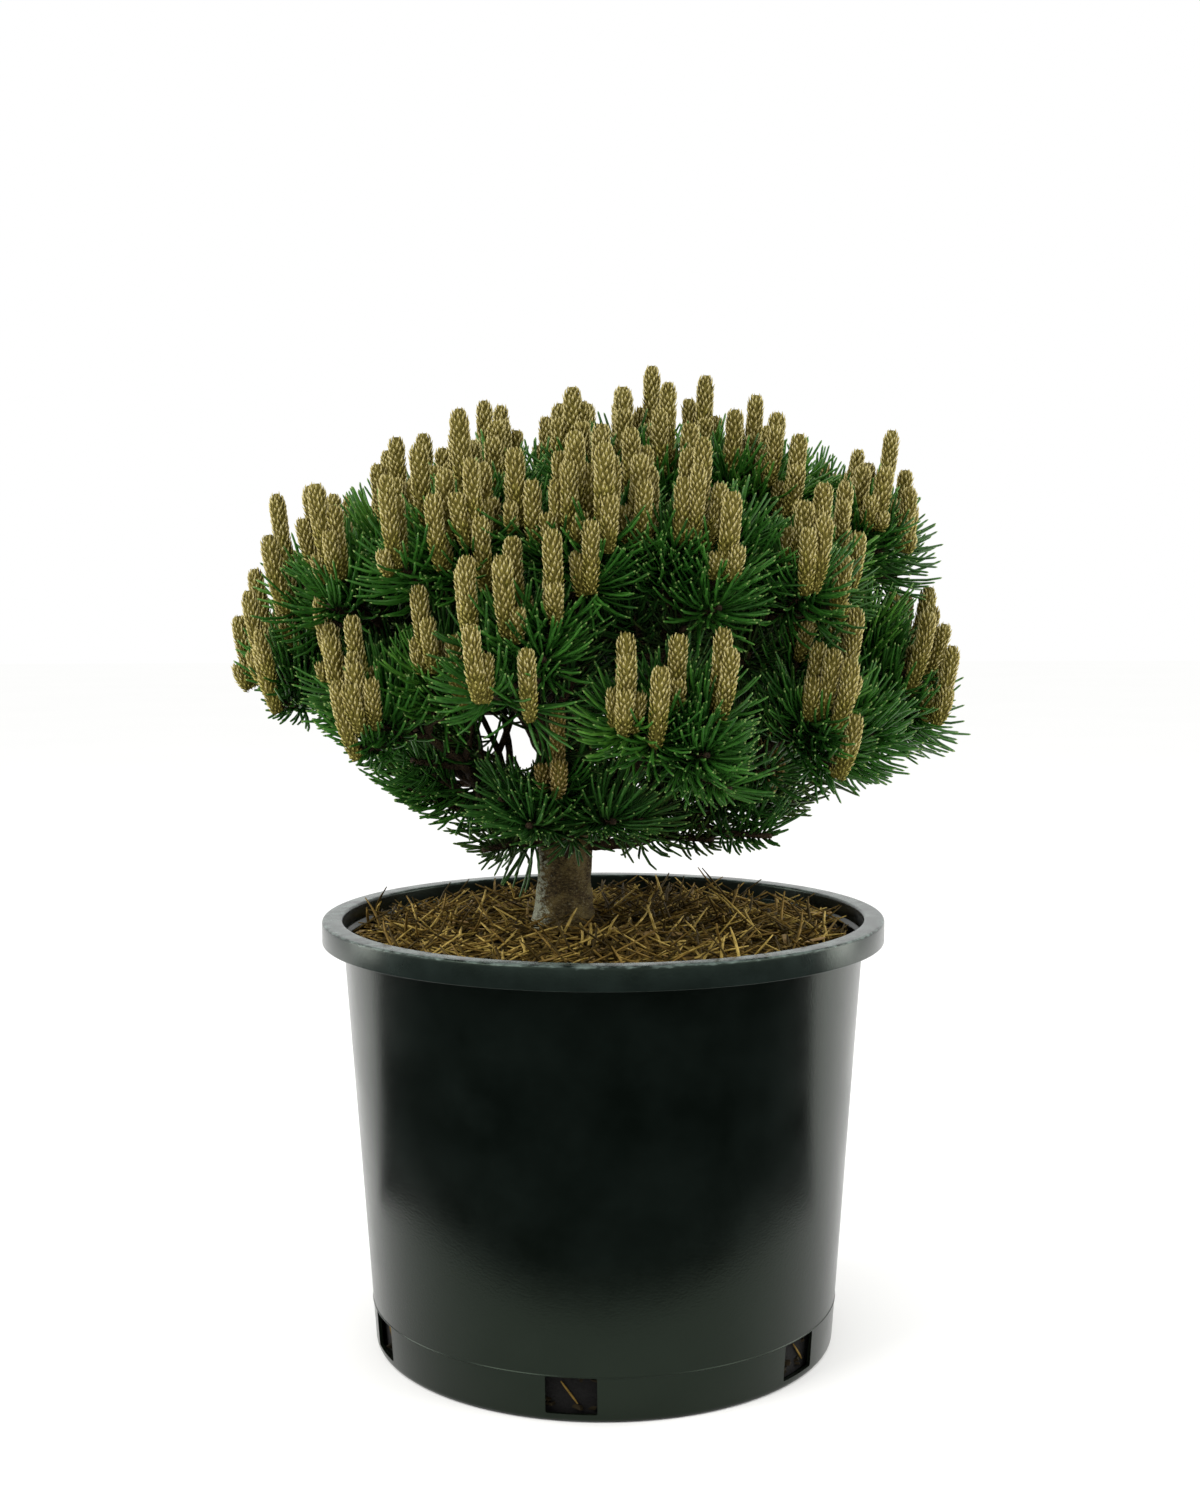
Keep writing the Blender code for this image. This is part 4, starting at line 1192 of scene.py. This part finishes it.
def make_pot(finish):
    """The pot, spun from its outline, with drain holes cut through the foot of its wall."""
    pot = piece_from_shape("pot_moulded", spun(rounded(pot_outline()), 180), finish)
    shape = bmesh.new()
    tall = DRAIN_HIGH - DRAIN_LOW
    for index in range(DRAIN_COUNT):
        angle = math.radians(DRAIN_FIRST_ANGLE + index * 360 / DRAIN_COUNT)
        middle = Matrix.Translation((0, -POT_FOOT_RADIUS, DRAIN_LOW + tall / 2))
        size = Matrix.Diagonal((DRAIN_WIDTH, 0.02, tall, 1.0))
        bmesh.ops.create_cube(shape, size=1.0, matrix=Matrix.Rotation(angle, 4, "Z") @ middle @ size)
    deep = [edge for edge in shape.edges if abs((edge.verts[0].co - edge.verts[1].co).z) < 0.001]
    deep = [edge for edge in deep if abs((edge.verts[0].co - edge.verts[1].co).length - 0.02) < 0.001]
    bmesh.ops.bevel(
        shape, geom=deep, offset=0.0012, segments=3, profile=0.5, affect="EDGES", material=-1
    )
    cutter = piece_from_shape("drain_blocks", shape, finish)
    cut = pot.modifiers.new("drain holes", "BOOLEAN")
    cut.operation = "DIFFERENCE"
    cut.solver = "EXACT"
    cut.object = cutter
    graph = bpy.context.evaluated_depsgraph_get()
    mesh = bpy.data.meshes.new_from_object(pot.evaluated_get(graph))
    pot.modifiers.clear()
    pot.data = mesh
    mesh.materials.clear()
    mesh.materials.append(finish)
    mesh.shade_smooth()
    mesh.set_sharp_from_angle(angle=math.radians(32))
    bpy.data.objects.remove(cutter, do_unlink=True)
    return pot


def mix_height(x, y):
    """The uneven top of the mix."""
    reach = math.hypot(x, y)
    share = max(0.0, (reach - MIX_FLAT_RADIUS) / (0.182 - MIX_FLAT_RADIUS))
    level = MIX_TOP + share * (MIX_EDGE_TOP - MIX_TOP)
    bumps = noise.noise(Vector((x * 28, y * 28, 3.1))) * 0.0035
    return level + bumps + noise.noise(Vector((x * 110, y * 110, 7.7))) * 0.0016


def make_mix(finish):
    """The potting mix: a body that fills the pot, with an uneven crumbly top."""
    low = POT_FLOOR + GAP
    inset = POT_WALL + 0.0035
    top = wall_radius(MIX_EDGE_TOP) - POT_WALL - GAP
    outline = [(0, low), (wall_radius(low) - inset, low), (wall_radius(0.2) - inset, 0.2)]
    outline += [(top, 0.262), (top, MIX_EDGE_TOP)]
    outline += [(top * (1 - step / 70), MIX_TOP) for step in range(1, 71)]
    shape = spun(outline, 190)
    for vert in shape.verts:
        if vert.co.z > 0.28:
            vert.co.z = mix_height(vert.co.x, vert.co.y)
    return piece_from_shape("bark_mix", shape, finish, smooth_angle=60)


def straw_lines(count, bed, rng):
    """Dry needles lying crosswise: lines (count, rings, 3) in a bed, some of them standing up."""
    lines = []
    while len(lines) < count:
        turn = rng.uniform(0, math.tau)
        away = bed.reach * math.sqrt(rng.uniform(0, 1))
        x = bed.middle[0] + math.cos(turn) * away
        y = bed.middle[1] + math.sin(turn) * away
        heading = rng.uniform(0, math.tau)
        tilt = math.radians(abs(rng.gauss(0, bed.stand)))
        length = rng.uniform(0.014, 0.046)
        bend = rng.gauss(0, 0.18) * length
        z = mix_height(x, y) + 0.0012 + bed.lift * rng.random() ** 1.6
        line = []
        for step in range(5):
            share = step / 4 - 0.5
            reach_on = share * length
            curve = bend * (0.25 - share * share)
            line.append(
                (
                    x + math.cos(heading) * math.cos(tilt) * reach_on - math.sin(heading) * curve,
                    y + math.sin(heading) * math.cos(tilt) * reach_on + math.cos(heading) * curve,
                    z + math.sin(tilt) * (reach_on + length / 2) * 0.8,
                )
            )
        ends = [math.hypot(line[0][0], line[0][1]), math.hypot(line[-1][0], line[-1][1])]
        clear = all(math.hypot(px - TRUNK_RINGS[0][1], py) > STRAW_OFF_TRUNK for px, py, pz in line)
        if max(ends) < STRAW_EDGE and clear:
            lines.append(line)
    return np.array(lines)


def root_lines(rng):
    """Roots that show behind the drain holes: lines (count, rings, 3), one to a hole."""
    lines = []
    for index in range(DRAIN_COUNT):
        angle = DRAIN_FIRST_ANGLE + index * 360 / DRAIN_COUNT + rng.uniform(-3, 3)
        slant = rng.choice((-1, 1)) * rng.uniform(1.0, 2.4)
        line = []
        for step in range(5):
            height = DRAIN_LOW + (DRAIN_HIGH - DRAIN_LOW) * (0.22 + 0.15 * step)
            spot = outward(angle + slant * (step / 2 - 1)) * (wall_radius(height) - POT_WALL - 0.0024)
            line.append((spot.x, spot.y, height))
        lines.append(line)
    return np.array(lines)


def make_straw():
    """Fallen dry needles over the mix, in three shades, thicker in a heap behind the trunk."""
    rng = random.Random(SEED * 13)
    made = []
    for rank, straw in enumerate(STRAWS):
        lines = [straw_lines(round(straw.count * bed.shares[rank]), bed, rng) for bed in BEDS]
        if straw.name == "tan":
            lines.append(root_lines(rng))
        lines = np.concatenate(lines)
        radii = np.broadcast_to(np.array(STRAW_TAPER) * STRAW_GIRTH, lines.shape[:2])
        shapes, corners, level = tubes(lines, radii, 4, flat=0.7)
        finish = paper_finish("dry_needle_" + straw.name, straw.deep, straw.light)
        made += alike_pieces("straw_" + straw.name, shapes, corners, level * 0, [finish])
    return made


CHIP_FACES = np.array(
    (
        (0, 2, 1), (1, 2, 3), (4, 5, 6), (5, 7, 6), (0, 1, 4), (1, 5, 4),
        (2, 6, 3), (3, 6, 7), (0, 4, 2), (2, 4, 6), (1, 3, 5), (3, 7, 5),
    )
)


def chip_blocks(places, sizes, rng):
    """Rough six-sided bits with uneven corners."""
    blocks = []
    for place, size in zip(places, sizes):
        turn = Matrix.Rotation(rng.uniform(0, math.tau), 3, "Z") @ Matrix.Rotation(rng.gauss(0, 0.35), 3, "X")
        corners = []
        for corner in range(8):
            signs = ((corner & 4) / 4 - 0.5, (corner & 2) / 2 - 0.5, (corner & 1) - 0.5)
            spot = Vector([sign * length * rng.uniform(0.55, 1.15) for sign, length in zip(signs, size)])
            corners.append(tuple(Vector(place) + turn @ spot))
        blocks.append(corners)
    return np.array(blocks)


def bits_on_top(count, lift, rng):
    """Places on the mix, clear of the trunk."""
    places = []
    while len(places) < count:
        x = rng.uniform(-BITS_REACH, BITS_REACH)
        y = rng.uniform(-BITS_REACH, BITS_REACH)
        if math.hypot(x, y) < BITS_REACH and math.hypot(x - TRUNK_RINGS[0][1], y) > BITS_OFF_TRUNK:
            places.append((x, y, mix_height(x, y) + lift * rng.random()))
    return places


def bits_behind_holes(count, rng):
    """Places just inside the wall, behind each drain hole."""
    places = []
    for index in range(count):
        angle = DRAIN_FIRST_ANGLE + (index % DRAIN_COUNT) * 360 / DRAIN_COUNT + rng.uniform(-6, 6)
        height = rng.uniform(DRAIN_LOW + 0.001, DRAIN_HIGH - 0.001)
        spot = outward(angle) * (wall_radius(height) - POT_WALL - rng.uniform(0.0028, 0.0055))
        places.append((spot.x, spot.y, height))
    return places


def make_bits():
    """Bark bits on the mix, darker ones behind the drain holes as painted shade, wood flakes, and a few green
    specks.
    """
    rng = random.Random(SEED * 17)
    made = []
    for name, count, lift, least, most in BITS:
        places = bits_behind_holes(count, rng) if lift is BEHIND_HOLES else bits_on_top(count, lift, rng)
        sizes = [[rng.uniform(low, high) for low, high in zip(least, most)] for _ in places]
        blocks = chip_blocks(places, sizes, rng)
        finish = paper_finish(*BIT_LOOKS[name])
        made += alike_pieces(name, blocks, CHIP_FACES, CHIP_FACES[:, 0] * 0, [finish])
        made[-1].data.shade_flat()
    return made


# ---- Studio ----


def make_floor(finish):
    shape = bmesh.new()
    bmesh.ops.create_grid(shape, x_segments=2, y_segments=2, size=14)
    floor = piece_from_shape("studio_floor", shape, finish)


def make_card(finish):
    """A black ring on the floor, open round the pot and at the back, which only the glossy pot mirrors."""
    shape = bmesh.new()
    near = shape.verts.new((CARD_OPENING, 0, CARD_LIFT))
    far = shape.verts.new((CARD_REACH, 0, CARD_LIFT))
    line = shape.edges.new((near, far))
    start = Matrix.Rotation(math.radians(-90 - CARD_HALF_ANGLE - CARD_TURN), 3, "Z")
    bmesh.ops.rotate(shape, verts=[near, far], cent=(0, 0, 0), matrix=start)
    bmesh.ops.spin(
        shape,
        geom=[near, far, line],
        cent=(0, 0, 0),
        axis=(0, 0, 1),
        angle=math.radians(2 * CARD_HALF_ANGLE),
        steps=64,
    )
    bmesh.ops.scale(shape, verts=shape.verts, vec=(CARD_STRETCH, 1, 1))
    card = piece_from_shape("black_floor_card", shape, finish)
    card.visible_camera = False
    card.visible_shadow = False
    card.visible_diffuse = False


def add_light(name, place, toward, width, height, power):
    light = bpy.data.lights.new(name, "AREA")
    light.shape = "RECTANGLE"
    light.size = width
    light.size_y = height
    light.energy = power
    light.color = PALE_LIGHT
    item = bpy.data.objects.new(name, light)
    item.location = place
    item.rotation_euler = (Vector(toward) - Vector(place)).to_track_quat("-Z", "Y").to_euler()
    bpy.context.scene.collection.objects.link(item)


def make_studio():
    world = bpy.data.worlds.new("white_room")
    world.use_nodes = True
    world.node_tree.nodes["Background"].inputs["Color"].default_value = linear("#ffffff")
    world.node_tree.nodes["Background"].inputs["Strength"].default_value = 1.0
    bpy.context.scene.world = world
    make_floor(studio_finish("studio_paper", 1.45, 0.0, (0.6, 2.0), "#fdfdfc", "#fefefd"))
    make_card(studio_finish("black_velvet_card", 1.3, 0.5, (0.002, 3.0), "#040404", "#080808"))
    for row in LIGHTS:
        add_light(*row)


def make_camera():
    lens = bpy.data.cameras.new("camera")
    lens.lens = LENS_MM
    lens.sensor_width = 36
    camera = bpy.data.objects.new("camera", lens)
    camera.location = EYE
    camera.rotation_euler = (math.pi / 2 - LENS_DIP, LENS_ROLL, 0)
    bpy.context.scene.collection.objects.link(camera)
    bpy.context.scene.camera = camera
    bpy.context.scene.view_settings.view_transform = "Standard"


# ---- Building ----


class Crown:
    """What the shoots bear: the sprays of each shade, the twigs and the candles."""

    def __init__(self):
        self.rng = random.Random(SEED * 2)
        self.spray_rng = np.random.default_rng(SEED)
        self.sprays = {name: [] for name in NEEDLE_LOOKS}
        self.twigs = []
        self.candles = []

    def add_spray(self, shades, shoot, count, share, lift=NEEDLE_LIFT):
        """Adds a shoot's twig and needles, in one of the shades, with a share of the full length."""
        shade = self.rng.choice(shades) if len(shades) > 1 else shades[0]
        self.sprays[shade].append(spray_of(shoot, count, NEEDLE_LENGTH * share, self.spray_rng, lift))
        self.twigs.append(shoot)

    def add_candles(self, shade, candles):
        """Adds the candles that stand across no opening."""
        self.candles += [(candle, shade) for candle in candles if in_view(candle)]

    def bear(self, growth, limb):
        """Adds all that one mass bears, from its main shoots to the fine ones on its limb."""
        mass, shoots = growth
        rng = self.rng
        fullness = SPARSE.get(mass.name, 1.0)
        low = mass.name.startswith("low")
        shade = "rust" if low else "tan"
        for shoot in shoots:
            shades = ("green", "deep") if low else ("fresh", "green", "green")
            self.add_spray(shades, shoot, round(SHOOT_NEEDLES * fullness), 1.0)
            if shoot.bearing:
                self.add_candles(shade, candles_on(shoot, mass, rng))
        for shoot in side_shoots(growth, rng):
            shades = ("deep", "deep", "old") if low else ("green", "green", "deep")
            self.add_spray(shades, shoot, round(SIDE_NEEDLES * fullness), SIDE_NEEDLE_SHARE)
            if shoot.bearing:
                fewer = candles_on(shoot, mass, rng)[: rng.choice((1, 1, 2, 3))]
                share = SIDE_CANDLE_SHARE
                shorter = [(foot, head, long * share, radius) for foot, head, long, radius in fewer]
                self.add_candles(shade, shorter)
        inner = REAR_INNER_SHOOTS if abs(mass.angle) > REAR_FROM else INNER_SHOOTS
        for shoot in inner_shoots(limb, inner, rng):
            self.add_spray(("deep", "old"), shoot, INNER_NEEDLES, INNER_NEEDLE_SHARE)
        for shoot in fill_shoots(mass, limb):
            self.add_spray(("green",), shoot, SHOOT_NEEDLES, 1.0)
            self.add_candles("tan", candles_on(shoot, mass, rng)[:MOST_FILL_CANDLES])


def make_crown(limbs, twig_bark):
    """Shoots by the rule, then the needles and candles that they bear."""
    space = Space(limbs)
    growths = [grow_mass(owner, space) for owner in range(len(MASSES))]
    crown = Crown()
    for growth in growths:
        crown.bear(growth, limbs[growth.mass.name])
    for shoot in hanging_shoots():
        crown.add_spray(("deep",), shoot, HANGING_NEEDLES, HANGING_NEEDLE_SHARE, HANGING_LIFT)
    shades = {name: needle_finish(*looks) for name, looks in NEEDLE_LOOKS.items()}
    point = paper_finish("needle_point", "#4b7430", "#7b9355", 0.45)
    scales = {name: [paper_finish(*looks) for looks in pair] for name, pair in SCALE_LOOKS.items()}
    core = paper_finish("candle_core", "#4d4718", "#655d26")
    made = make_needles(crown.sprays, shades, point, [candle for candle, shade in crown.candles])
    made += make_candles(crown.candles, scales, core)
    made += make_twigs(crown.twigs, twig_bark)
    return made


def main():
    old_bark = bark_finish("plated_pine_bark", "#2a210d", "#7e6a3e", "#bcc0a6", "#8d7b4a", 0.0050, 0.58)
    young_bark = bark_finish("young_pine_bark", "#281e12", "#55432a", "#6e6448", "#44331d", 0.004, 0.86)
    limbs = grow_limbs()
    show_piece(make_pot(pot_finish()), "black_polypropylene", "pot")
    show_piece(make_mix(soil_finish()), "potting_mix", "potting_mix")
    for piece in make_straw() + make_bits():
        show_piece(piece, "potting_mix")
    show_piece(make_trunk(old_bark), "pine_bark", "trunk")
    show_piece(make_boughs(limbs, young_bark), "pine_bark", *BOUGHS)
    for piece in make_crown(limbs, young_bark):
        show_piece(piece, "pine_needles", *FOLIAGE)
    make_studio()
    make_camera()


main()
